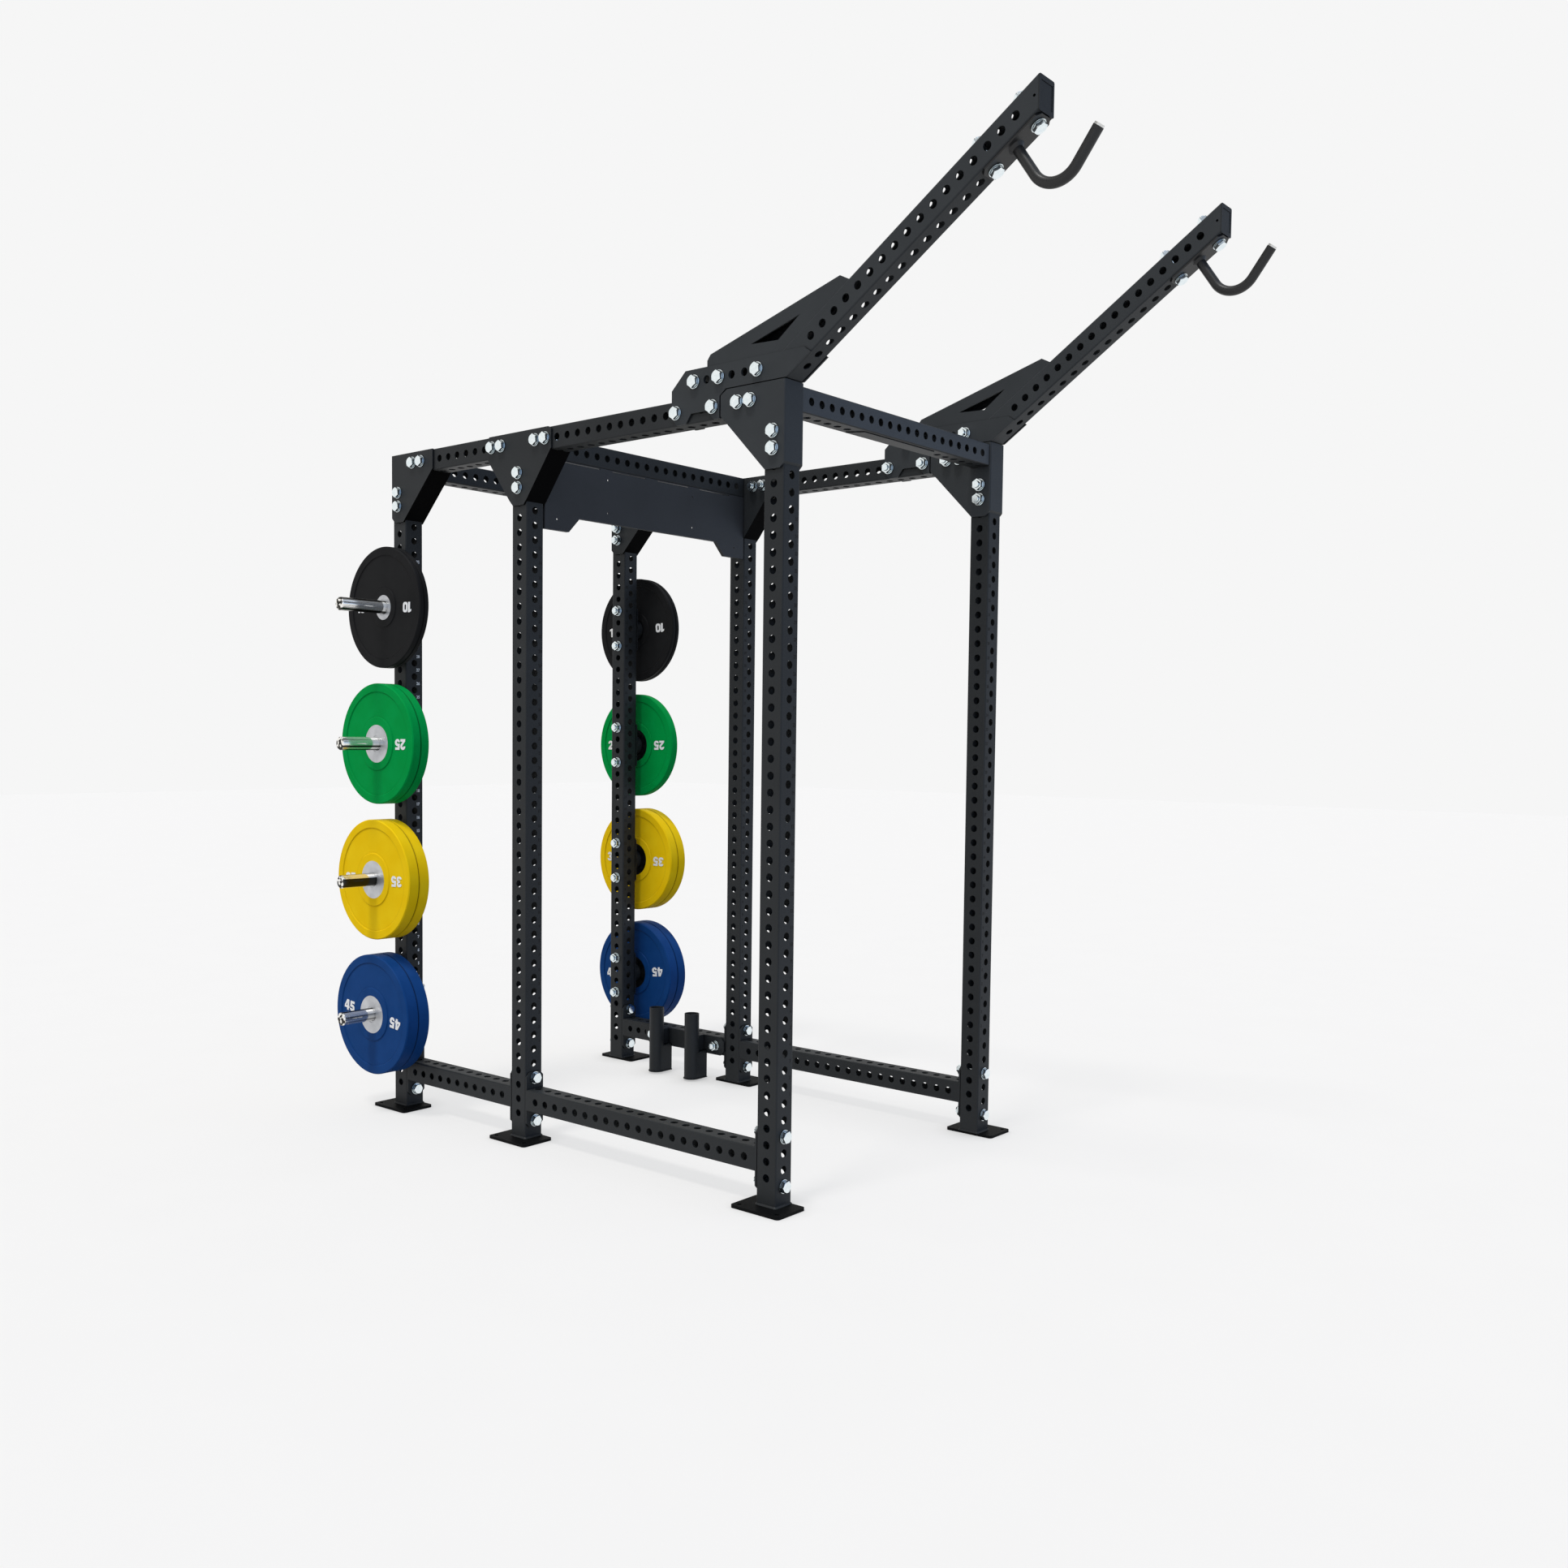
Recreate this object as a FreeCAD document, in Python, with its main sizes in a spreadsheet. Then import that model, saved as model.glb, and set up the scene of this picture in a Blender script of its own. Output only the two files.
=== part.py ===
import FreeCAD, Part
import math
import os
import re
import Sketcher

# Power rack: six holed posts, holed beams, corner gussets, two raised arms with hooks,
# eight storage pegs that carry sixteen weight plates, and an upright bar holder.
# Millimetres. X runs to the right, Y to the back and Z up. The origin lies on the floor,
# midway between the four corner posts.

Vector = FreeCAD.Vector
Rotation = FreeCAD.Rotation
Placement = FreeCAD.Placement

# Driving dimensions: alias, value, what it is.
SIZES = [
    ("tube_side", 76.2, "width of every square tube"),
    ("tube_wall", 3.0, "wall of every square tube"),
    ("tube_corner", 5.0, "outer corner radius of every square tube"),
    ("plate_thick", 6.35, "thickness of flanges, gusset plates and brackets"),
    ("overrun", 15.0, "how far cuts run past the metal"),
    ("hole_size", 25.4, "diameter of the holes in the tubes"),
    ("hole_pitch", 50.8, "spacing of the holes in the tubes"),
    ("bay_width", 1066.8, "clear width between the left and right posts"),
    ("front_bay", 1066.8, "clear depth between the front and middle posts"),
    ("rear_bay", 609.6, "clear depth between the middle and rear posts"),
    ("post_height", 2461.3, "length of a post above its foot plate"),
    ("side_hole_start", 86.4, "height of the lowest hole in a post's side faces"),
    ("front_hole_start", 61.0, "height of the lowest hole in a post's front face"),
    ("foot_thick", 9.5, "thickness of a foot plate"),
    ("foot_overhang", 57.15, "how far a foot plate stands out from its post"),
    ("foot_corner", 12.0, "corner radius of a foot plate"),
    ("anchor_hole", 14.0, "diameter of the floor anchor holes"),
    ("anchor_inset", 21.0, "anchor hole centre to the foot plate's edges"),
    ("weld_leg", 5.0, "leg of the weld round a post's foot"),
    ("cap_thick", 3.0, "thickness of the plate that closes a post's top"),
    ("flange_height", 193.0, "height of the flange on a lower beam"),
    ("flange_chamfer", 14.0, "corner chamfer of that flange"),
    ("gusset_reach", 170.0, "corner gusset, length past the post's face"),
    ("gusset_drop", 250.0, "gusset, depth below the beam's top"),
    ("gusset_edge", 71.0, "corner gusset, depth of its end along the beam"),
    ("gusset_tuck", 7.0, "corner gusset, how far its slope runs on over the post"),
    ("gusset_chamfer", 18.0, "gusset, chamfer at the foot of the post's outer side"),
    ("gusset_bend", 6.0, "bend radius of the front gusset's cover"),
    ("nose_long", 25.0, "front gusset, top rear chamfer along the beam"),
    ("nose_high", 16.0, "front gusset, top rear chamfer down the edge"),
    ("tee_reach", 130.0, "middle gusset, length past the post's face each way"),
    ("tee_edge", 73.0, "middle gusset, depth of its ends along the beam"),
    ("tee_waist", 7.6, "middle gusset, width past the post's face low down"),
    ("tee_waist_drop", 231.0, "middle gusset, depth of that waist"),
    ("tee_chamfer_long", 15.0, "middle gusset, top chamfers along the beam"),
    ("tee_chamfer_high", 10.0, "middle gusset, top chamfers down the edges"),
    ("fascia_sheet", 4.0, "sheet thickness of the fascia"),
    ("fascia_lip", 15.0, "depth of the fascia's turned edges"),
    ("fascia_drop", 194.0, "fascia, depth in the middle"),
    ("fascia_leg_drop", 246.0, "fascia, depth of its end legs"),
    ("fascia_leg", 113.0, "fascia, width of an end leg at its foot"),
    ("fascia_slope", 51.0, "fascia, width of the slope beside a leg"),
    ("slot_length", 172.0, "fascia, length of a slot along its top"),
    ("slot_high", 3.0, "fascia, height of a slot"),
    ("slot_step", 234.0, "fascia, spacing of the slots"),
    ("screw_hole", 7.0, "fascia, diameter of the small holes"),
    ("screw_span", 450.0, "fascia, spacing of the inner small holes across"),
    ("screw_rise", 118.0, "fascia, spacing of the inner small holes in height"),
    ("screw_edge", 57.0, "fascia, outer small holes to the end"),
    ("screw_foot", 39.0, "fascia, outer small holes above the leg's foot"),
    ("strip_length", 394.0, "bare strip under the front beam, length"),
    ("strip_width", 52.0, "bare strip under the front beam, width"),
    ("strip_thick", 3.0, "bare strip under the front beam, thickness"),
    ("strip_cut", 30.0, "bare strip, length of its corner cuts"),
    ("arm_tilt", 33.9, "slope of a raised arm in degrees"),
    ("arm_lift", 9.5, "gap between an arm's base tube and the beam below"),
    ("arm_start", 6.0, "arm axis crosses its base axis this far behind the post's face"),
    ("arm_hole_start", 120.0, "first side hole of an arm, along its axis"),
    ("arm_pitch", 49.85, "spacing of the holes in an arm, as it measures in the photo"),
    ("arm_holes", 17, "number of side holes in an arm"),
    ("arm_tail", 78.0, "last side hole to the middle of the arm's end"),
    ("arm_screw", 8.0, "diameter of the set-screw hole near the arm's end"),
    ("base_length", 393.0, "arm base tube, post's front face to its rear end"),
    ("base_holes", 6, "number of side holes in an arm's base tube"),
    ("ear_tail", 58.0, "arm side plate, length past the base tube's end"),
    ("ear_slope", 54.0, "arm side plate, height of its rear slope"),
    ("ear_foot", 22.0, "arm side plate, chamfer at its rear foot"),
    ("ear_gap", 5.0, "arm side plate, gap to the gusset"),
    ("ear_nose", 73.0, "arm side plate, length of its top past the post's face"),
    ("ear_reach", 97.0, "arm side plate, its nose measured along the arm"),
    ("ear_proud", 1.5, "arm side plate, how far it stands below the arm"),
    ("relief_length", 116.0, "arm side plate, length of the relief in its lower edge"),
    ("relief_slope", 24.0, "arm side plate, length of each relief slope"),
    ("relief_high", 29.0, "arm side plate, height of the relief"),
    ("web_heel", 84.0, "arm web, from the base tube's rear end to its heel"),
    ("web_heel_high", 20.0, "arm web, height of its heel"),
    ("web_round", 13.0, "arm web, length of its corner cuts"),
    ("web_end", 306.0, "arm web, its end measured along the arm"),
    ("web_nose_high", 30.0, "arm web, height over the arm at that end"),
    ("web_inset", 1.0, "arm web, how far its sides stand in from the arm's"),
    ("web_sink", 2.4, "arm web, how deep it is let into the tubes' walls"),
    ("cap_plate", 4.0, "thickness of an arm's end cap"),
    ("cap_frame", 9.0, "width of the raised frame on an end cap"),
    ("cap_recess", 1.5, "depth of the field inside that frame"),
    ("hook_plate_length", 205.0, "hook plate, length along the arm"),
    ("hook_plate_width", 70.0, "hook plate, width"),
    ("hook_chamfer", 14.0, "hook plate, corner chamfer"),
    ("hook_bar", 30.0, "diameter of the hook's round bar"),
    ("hook_leg", 99.0, "hook, straight length below its plate"),
    ("hook_bend", 73.0, "hook, radius of its bend at the bar's axis"),
    ("hook_turn", 110.0, "hook, angle of its bend in degrees"),
    ("hook_tip", 105.0, "hook, straight length after the bend"),
    ("hook_end", 6.0, "hook, length of its bare end"),
    ("hook_end_step", 1.2, "hook, step down to its bare end"),
    ("hook_collar", 8.0, "hook, height of the weld cone at its root"),
    ("peg_bar", 49.0, "diameter of a storage peg"),
    ("peg_reach", 264.0, "storage peg, post's face to the tip"),
    ("peg_wall", 6.0, "wall of a storage peg's tube"),
    ("peg_chamfer", 3.0, "storage peg, chamfer at the tip"),
    ("peg_plug", 12.0, "storage peg, thickness of the plug in its tip"),
    ("peg_plug_hole", 6.6, "storage peg, diameter of the hole in that plug"),
    ("peg_cap", 20.0, "storage peg, length of its end cap"),
    ("peg_seam", 0.8, "storage peg, width and depth of the seam before its cap"),
    ("peg_ring", 20.0, "storage peg, diameter of the fine groove in its end"),
    ("peg_ring_cut", 1.4, "storage peg, width and depth of that groove"),
    ("peg_margin", 25.4, "storage peg, bolt centre to the base plate's end"),
    ("collar_size", 82.0, "diameter of the stop collar on a peg"),
    ("plate_seat", 33.5, "post's face to the back of the first weight plate"),
    ("plate_gap", 0.4, "gap between the plates on a peg"),
    ("disc_size", 450.0, "diameter of a weight plate"),
    ("disc_bore", 50.6, "bore of a weight plate"),
    ("disc_hub", 141.0, "diameter of a weight plate's steel hub"),
    ("small_hub", 92.0, "diameter of the lightest plate's steel hub"),
    ("disc_ring", 196.0, "diameter of the raised ring round the hub"),
    ("small_ring", 144.0, "diameter of the raised ring round the small hub"),
    ("hub_sink", 62.0, "diameter of the sunk ring round a plate's bore"),
    ("hub_sink_deep", 1.5, "depth of that sunk ring"),
    ("disc_rim", 30.0, "width of a weight plate's rim"),
    ("disc_recess", 3.0, "depth of a weight plate's web below its rim"),
    ("disc_edge", 3.5, "rounding of a weight plate's rim"),
    ("disc_hang", 0.3, "gap left where a plate hangs on its peg"),
    ("thick_10", 20.0, "thickness of the lightest plate"),
    ("thick_25", 36.0, "thickness of the second plate"),
    ("thick_35", 45.0, "thickness of the third plate"),
    ("thick_45", 49.0, "thickness of the heaviest plate"),
    ("holder_margin", 48.0, "bar holder, bolt centre to its plate's end"),
    ("holder_chamfer", 19.0, "bar holder, corner chamfer of its plate"),
    ("holder_tube", 61.0, "bar holder, outer diameter of a tube"),
    ("holder_wall", 4.0, "bar holder, wall of a tube"),
    ("holder_stand", 68.0, "bar holder, beam's face to a tube's axis"),
    ("holder_up", 134.0, "bar holder, tube's top above the beam's axis"),
    ("holder_down", 135.0, "bar holder, tube's foot below the beam's axis"),
    ("holder_box_top", 28.0, "bar holder, box's top below the beam's axis"),
    ("holder_web", 24.0, "bar holder, width of the web behind a tube"),
    ("holder_lip", 3.0, "bar holder, foot plate's lip round a tube"),
    ("bolt_size", 22.0, "diameter of the bolts"),
    ("bolt_head", 34.0, "bolt heads and nuts, across the flats"),
    ("head_high", 13.0, "height of a bolt head"),
    ("nut_high", 17.0, "height of a nut"),
    ("nut_play", 0.4, "clearance of a nut's or washer's bore over the bolt"),
    ("bolt_tail", 8.0, "bolt's end past its nut"),
    ("washer_size", 43.0, "diameter of a washer"),
    ("washer_thick", 3.0, "thickness of a washer"),
]

doc = FreeCAD.newDocument("power_rack")
sheet = doc.addObject("Spreadsheet::Sheet", "Sizes")
for row, (alias, value, meaning) in enumerate(SIZES, start=1):
    sheet.set("A%d" % row, meaning)
    sheet.set("B%d" % row, str(value))
    sheet.setAlias("B%d" % row, alias)
doc.recompute()

ALIASES = re.compile(r"\b(%s)\b" % "|".join(alias for alias, value, meaning in SIZES))
subparts = []


def number(text):
    """The value of a formula in the sheet's names."""
    return float(sheet.evalExpression(text))


def bind(thing, field, text):
    """Tie a property to a formula in the sheet's names."""
    thing.setExpression(field, ALIASES.sub(r"Sizes.\1", text))


# Formulas that several pieces share
HALF = "tube_side / 2"
SIDE_COUNT = "(floor((post_height - side_hole_start - hole_size) / hole_pitch) + 1)"
FRONT_COUNT = "(floor((post_height - front_hole_start - hole_size) / hole_pitch) + 1)"
POST_X = "(bay_width + tube_side) / 2"
REAR_Y = "((front_bay + rear_bay) / 2 + tube_side)"
MIDDLE_Y = "((front_bay - rear_bay) / 2)"
TOP_Z = "(foot_thick + post_height)"
LOWER_Z = "(foot_thick + front_hole_start + 1.5 * hole_pitch)"
UPPER_Z = "(foot_thick + post_height - tube_side / 2)"
BOLT_REACH = "1.5 * hole_pitch"
GUSSET_WIDTH = "(tube_side + 2 * plate_thick)"
POST_TOP_HOLE = "(side_hole_start + (%s - 1) * hole_pitch - post_height)" % SIDE_COUNT
OUTER_FACE = "(bay_width / 2 + tube_side)"
FLANGED = "(%s - 2 * plate_thick)"


def beam_count(span):
    """How many side holes fit a beam of this length."""
    return "(floor((%s - 2 * hole_pitch) / hole_pitch) + 1)" % span


def origin_part(body, role):
    """One of a body's own planes or axes."""
    return next(part for part in body.Origin.OriginFeatures if part.Role == role)


def new_body(name):
    return doc.addObject("PartDesign::Body", name)


def new_sketch(body, name, role, offset="0"):
    """A sketch on one of the body's planes, moved along the plane's normal."""
    sketch = body.newObject("Sketcher::SketchObject", name)
    sketch.AttachmentSupport = (origin_part(body, role), [""])
    sketch.MapMode = "FlatFace"
    bind(sketch, ".AttachmentOffset.Base.z", offset)
    return sketch


def place_point(sketch, geometry, position, x, y):
    """Hold a sketch point at a place given by two formulas."""
    for kind, text in (("DistanceX", x), ("DistanceY", y)):
        rule = Sketcher.Constraint(kind, -1, 1, geometry, position, number(text))
        bind(sketch, "Constraints[%d]" % sketch.addConstraint(rule), text)


def polygon(sketch, corners):
    """A closed outline through corners given by formulas."""
    places = [Vector(number(x), number(y), 0) for x, y in corners]
    first = sketch.GeometryCount
    count = len(corners)
    for index, start in enumerate(places):
        sketch.addGeometry(Part.LineSegment(start, places[(index + 1) % count]), False)
    for index in range(count):
        following = first + (index + 1) % count
        sketch.addConstraint(Sketcher.Constraint("Coincident", first + index, 2, following, 1))
    for index, (x, y) in enumerate(corners):
        place_point(sketch, first + index, 1, x, y)


def circle(sketch, x, y, radius):
    """A circle whose centre and radius are formulas."""
    centre = Vector(number(x), number(y), 0)
    index = sketch.addGeometry(Part.Circle(centre, Vector(0, 0, 1), number(radius)), False)
    place_point(sketch, index, 3, x, y)
    rule = Sketcher.Constraint("Radius", index, number(radius))
    bind(sketch, "Constraints[%d]" % sketch.addConstraint(rule), radius)


def rounded_box(sketch, left, right, low, high, radius):
    """A rectangle with four equal arcs at its corners."""
    corner = number(radius)
    inner = {"left": "%s + %s" % (left, radius), "right": "%s - %s" % (right, radius),
             "low": "%s + %s" % (low, radius), "high": "%s - %s" % (high, radius)}
    centres = [(inner["right"], inner["high"]), (inner["left"], inner["high"]),
               (inner["left"], inner["low"]), (inner["right"], inner["low"])]
    arcs = []
    for index, (x, y) in enumerate(centres):
        whole = Part.Circle(Vector(number(x), number(y), 0), Vector(0, 0, 1), corner)
        quarter = math.pi / 2
        arcs.append(Part.ArcOfCircle(whole, index * quarter, (index + 1) * quarter))
    numbers = [sketch.addGeometry(arc, False) for arc in arcs]
    lines = []
    for index in range(4):
        following = arcs[(index + 1) % 4]
        line = Part.LineSegment(arcs[index].EndPoint, following.StartPoint)
        lines.append(sketch.addGeometry(line, False))
    for index in range(4):
        following = numbers[(index + 1) % 4]
        sketch.addConstraint(Sketcher.Constraint("Tangent", numbers[index], 2, lines[index], 1))
        sketch.addConstraint(Sketcher.Constraint("Tangent", lines[index], 2, following, 1))
    rule = Sketcher.Constraint("Radius", numbers[0], corner)
    bind(sketch, "Constraints[%d]" % sketch.addConstraint(rule), radius)
    for index in range(1, 4):
        sketch.addConstraint(Sketcher.Constraint("Equal", numbers[0], numbers[index]))
    for index, (x, y) in enumerate(centres):
        place_point(sketch, numbers[index], 3, x, y)


def tube_section(sketch):
    """The hollow square section that all the frame's tubes share."""
    rounded_box(sketch, "-" + HALF, HALF, "-" + HALF, HALF, "tube_corner")
    inside = "(tube_side / 2 - tube_wall)"
    rounded_box(sketch, "-" + inside, inside, "-" + inside, inside, "(tube_corner - tube_wall)")


def pad(body, name, sketch, length, centred=False, reverse=False):
    feature = body.newObject("PartDesign::Pad", name)
    feature.Profile = sketch
    feature.Midplane = centred
    feature.Reversed = reverse
    feature.Refine = False
    bind(feature, "Length", length)
    return feature


def pocket(body, name, sketch, length=None, reverse=False):
    """A cut through everything, centred on the sketch, or of one stated depth."""
    feature = body.newObject("PartDesign::Pocket", name)
    feature.Profile = sketch
    feature.Refine = False
    feature.Reversed = reverse
    if length is None:
        feature.Type = "ThroughAll"
        feature.Midplane = True
    else:
        bind(feature, "Length", length)
    return feature


def centred_pocket(body, name, sketch, length):
    feature = pocket(body, name, sketch, length)
    feature.Midplane = True
    return feature


def row_of_holes(body, name, plane, axis, x, y, count, pitch="hole_pitch"):
    """Evenly spaced through holes in a row along one of the body's axes."""
    sketch = new_sketch(body, name + "Sketch", plane)
    circle(sketch, x, y, "hole_size / 2")
    first = pocket(body, name, sketch)
    pattern = body.newObject("PartDesign::LinearPattern", name + "Row")
    pattern.Originals = [first]
    pattern.Direction = (origin_part(body, axis), [""])
    pattern.Refine = False
    bind(pattern, "Length", "%s * (%s - 1)" % (pitch, count))
    bind(pattern, "Occurrences", count)
    body.Tip = pattern
    return pattern


def plain_holes(body, name, plane, places, radius):
    """Through holes at chosen places."""
    sketch = new_sketch(body, name + "Sketch", plane)
    for x, y in places:
        circle(sketch, x, y, radius)
    return pocket(body, name, sketch)


def edge_names(shape, chosen):
    """The names of a shape's edges whose box passes a test."""
    return ["Edge%d" % (index + 1) for index, edge in enumerate(shape.Edges)
            if chosen(edge.BoundBox)]


def near(first, second):
    return abs(first - second) < number("tube_wall") / 100


def keep(thing, label, placement=None):
    """Enter a finished sub-part under its own name."""
    thing.Label = label
    if placement is not None:
        thing.Placement = placement
    subparts.append(thing)
    return thing


def copy_of(pattern, label, placement):
    """Enter one more sub-part of a repeated pattern, as a linked copy."""
    link = doc.addObject("App::Link", "Link")
    link.LinkedObject = pattern
    return keep(link, label, placement)


def at(x, y, z, turn=0):
    """A place from formulas, with a turn about the vertical in degrees."""
    place = Vector(number(x), number(y), number(z))
    return Placement(place, Rotation(Vector(0, 0, 1), turn))


def compound(name, pieces):
    group = doc.addObject("Part::Compound", name)
    group.Links = pieces
    return group


# Left and right: the name, the side's sign and the turn that mirrors a left piece
SIDES = [("left", -1, 0), ("right", 1, 180)]
STATIONS = [("front", "-" + REAR_Y), ("middle", MIDDLE_Y), ("rear", REAR_Y)]


def side_x(sign):
    return "%d * %s" % (sign, POST_X)


def make_upright():
    """A post with its welded foot plate, on the left side of the rack."""
    body = new_body("Upright")
    foot = new_sketch(body, "FootSketch", "XY_Plane")
    reach = "(tube_side / 2 + foot_overhang)"
    rounded_box(foot, "-" + reach, HALF, "-" + reach, reach, "foot_corner")
    pad(body, "Foot", foot, "foot_thick")
    section = new_sketch(body, "PostSketch", "XY_Plane", "foot_thick")
    tube_section(section)
    pad(body, "Post", section, "post_height")
    skirt = "(tube_side / 2 + weld_leg)"
    bead = new_sketch(body, "WeldSketch", "XY_Plane", "foot_thick")
    rounded_box(bead, "-" + skirt, skirt, "-" + skirt, skirt, "(tube_corner + weld_leg)")
    weld = pad(body, "Weld", bead, "weld_leg")
    weld.TaperAngle = -45
    cap = new_sketch(body, "CapSketch", "XY_Plane", TOP_Z)
    rounded_box(cap, "-" + HALF, HALF, "-" + HALF, HALF, "tube_corner")
    pad(body, "Cap", cap, "cap_thick", reverse=True)
    side = "(foot_thick + side_hole_start)"
    front = "(foot_thick + front_hole_start)"
    row_of_holes(body, "SideHoles", "YZ_Plane", "Z_Axis", "0", side, SIDE_COUNT)
    row_of_holes(body, "FrontHoles", "XZ_Plane", "Z_Axis", "0", front, FRONT_COUNT)
    inset = "(tube_side / 2 + foot_overhang - anchor_inset)"
    anchors = new_sketch(body, "AnchorSketch", "XY_Plane")
    for y in ("-" + inset, inset):
        circle(anchors, "-" + inset, y, "anchor_hole / 2")
    pocket(body, "Anchors", anchors, "foot_thick + overrun", reverse=True)
    return body


def make_beam(name, length, span):
    """A holed tube along Y, centred on the origin; the span sets its holes."""
    body = new_body(name)
    section = new_sketch(body, "Section", "XZ_Plane")
    tube_section(section)
    pad(body, "Tube", section, length, centred=True)
    count = beam_count(span)
    low = "-(%s - 1) / 2 * hole_pitch" % count
    row_of_holes(body, "SideHoles", "YZ_Plane", "Y_Axis", low, "0", count)
    lower = "-%s / 2 * hole_pitch" % count
    row_of_holes(body, "TopHoles", "XY_Plane", "Y_Axis", "0", lower, "(%s + 1)" % count)
    return body


def make_flange(name, span, sign):
    """The bolted plate welded to one end of a lower beam of the given span."""
    body = new_body(name)
    high = "flange_height / 2"
    chamfered = []
    for sx, sz in ((1, 1), (-1, 1), (-1, -1), (1, -1)):
        upright = ("%d * %s" % (sx, HALF), "%d * (%s - flange_chamfer)" % (sz, high))
        level = ("%d * (%s - flange_chamfer)" % (sx, HALF), "%d * %s" % (sz, high))
        chamfered += [upright, level] if sx * sz > 0 else [level, upright]
    offset = "%d * (%s / 2 - plate_thick / 2)" % (sign, span)
    sketch = new_sketch(body, "Outline", "XZ_Plane", offset)
    polygon(sketch, chamfered)
    pad(body, "Sheet", sketch, "plate_thick", centred=True)
    places = [("0", "%d * %s" % (step, BOLT_REACH)) for step in (-1, 1)]
    plain_holes(body, "BoltHoles", "XZ_Plane", places, "hole_size / 2")
    return body


def make_flanged_beam(name, span):
    """A lower beam: its holed tube and the two plates welded to the tube's ends."""
    tube = make_beam(name + "Tube", FLANGED % span, span)
    ends = [make_flange(name + "Foot%d" % index, span, sign)
            for index, sign in enumerate((-1, 1))]
    return compound(name, [tube] + ends)


def turned(points, sign):
    """Mirror an outline's first coordinate when the sign is negative."""
    return [("%d * (%s)" % (sign, x), z) for x, z in points]


def make_corner_gusset(name, sign, front):
    """Two side plates joined by a sloped web; the front one also wraps the post.

    The beam leaves the post towards Y with the given sign. The origin lies on the post's
    axis, level with the top of the frame.
    """
    body = new_body(name)
    slope = "((gusset_drop - gusset_edge) / (gusset_reach + gusset_tuck))"
    rise = "(plate_thick * sqrt(1 + %s ^ 2))" % slope
    end = "(tube_side / 2 + gusset_reach)"
    back = "-(tube_side / 2 + plate_thick)" if front else "-" + HALF
    top = "plate_thick" if front else "0"
    outline = [(back, top)]
    if front:
        outline += [(end + " - nose_long", top), (end, "plate_thick - nose_high")]
    else:
        outline += [(end, top)]
    outline += [(end, "-gusset_edge"), ("tube_side / 2 - gusset_tuck", "-gusset_drop"),
                (back + " + gusset_chamfer", "-gusset_drop"),
                (back, "gusset_chamfer - gusset_drop")]
    sides = new_sketch(body, "Outline", "YZ_Plane")
    polygon(sides, turned(outline, sign))
    pad(body, "Block", sides, GUSSET_WIDTH, centred=True)
    web_top = "%s - (tube_side - gusset_edge + %s) / %s" % (end, rise, slope)
    web_foot = "%s - gusset_edge - %s * gusset_reach" % (rise, slope)
    closed = "-" + HALF if front else "-(tube_side / 2 + overrun)"
    roof = "0" if front else "overrun"
    inside = [(closed, roof), (end + " + overrun", roof), (end + " + overrun", "-tube_side"),
              (web_top, "-tube_side"), (HALF, web_foot), (HALF, "-(gusset_drop + overrun)"),
              (closed, "-(gusset_drop + overrun)")]
    hollow = new_sketch(body, "Inside", "YZ_Plane")
    polygon(hollow, turned(inside, sign))
    centred_pocket(body, "Hollow", hollow, "tube_side")
    places = [("tube_side / 2 + %d * hole_pitch" % step, "-" + HALF) for step in (1, 2)]
    places += [("0", "%s - %d * hole_pitch" % (POST_TOP_HOLE, step)) for step in (2, 3)]
    plain_holes(body, "BoltHoles", "YZ_Plane", turned(places, sign), "hole_size / 2")
    if front:
        doc.recompute()
        face = number(back) * sign

        def on_cover_edge(box):
            upright = box.ZMax - box.ZMin > number("gusset_drop") / 2
            return upright and near(box.YMin, face) and near(box.YMax, face)

        flat = body.Tip
        bend = body.newObject("PartDesign::Fillet", "Bend")
        bend.Base = (flat, edge_names(flat.Shape, on_cover_edge))
        bind(bend, "Radius", "gusset_bend")
    return body


def make_tee_gusset():
    """The middle gusset: two tee-shaped side plates joined by two sloped webs."""
    body = new_body("TeeGusset")
    slope = "((tee_waist_drop - tee_edge) / (tee_reach - tee_waist))"
    rise = "(plate_thick * sqrt(1 + %s ^ 2))" % slope
    end = "(tube_side / 2 + tee_reach)"
    waist = "(tube_side / 2 + tee_waist)"
    foot = "(tube_side / 2 - gusset_chamfer + tee_waist)"
    half = [(foot, "-gusset_drop"), (waist, "-tee_waist_drop"), (end, "-tee_edge"),
            (end, "-tee_chamfer_high"), (end + " - tee_chamfer_long", "0")]
    outline = half + [(x, z) for x, z in turned(half[::-1], -1)]
    sides = new_sketch(body, "Outline", "YZ_Plane")
    polygon(sides, outline)
    pad(body, "Block", sides, GUSSET_WIDTH, centred=True)
    web_top = "(%s - (tube_side - tee_edge + %s) / %s)" % (end, rise, slope)
    web_foot = "%s - tee_edge - %s * tee_reach" % (rise, slope)
    low = "-(gusset_drop + overrun)"
    inside = [("-(%s + overrun)" % end, "overrun"), ("-(%s + overrun)" % end, "-tube_side"),
              ("-" + web_top, "-tube_side"), ("-" + HALF, web_foot), ("-" + HALF, low),
              (HALF, low), (HALF, web_foot), (web_top, "-tube_side"),
              (end + " + overrun", "-tube_side"), (end + " + overrun", "overrun")]
    hollow = new_sketch(body, "Inside", "YZ_Plane")
    polygon(hollow, inside)
    centred_pocket(body, "Hollow", hollow, "tube_side")
    places = [("%d * (tube_side / 2 + %d * hole_pitch)" % (sign, step), "-" + HALF)
              for sign in (-1, 1) for step in (1, 2)]
    places += [("0", "%s - %d * hole_pitch" % (POST_TOP_HOLE, step)) for step in (2, 3)]
    plain_holes(body, "BoltHoles", "YZ_Plane", places, "hole_size / 2")
    return body


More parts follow.
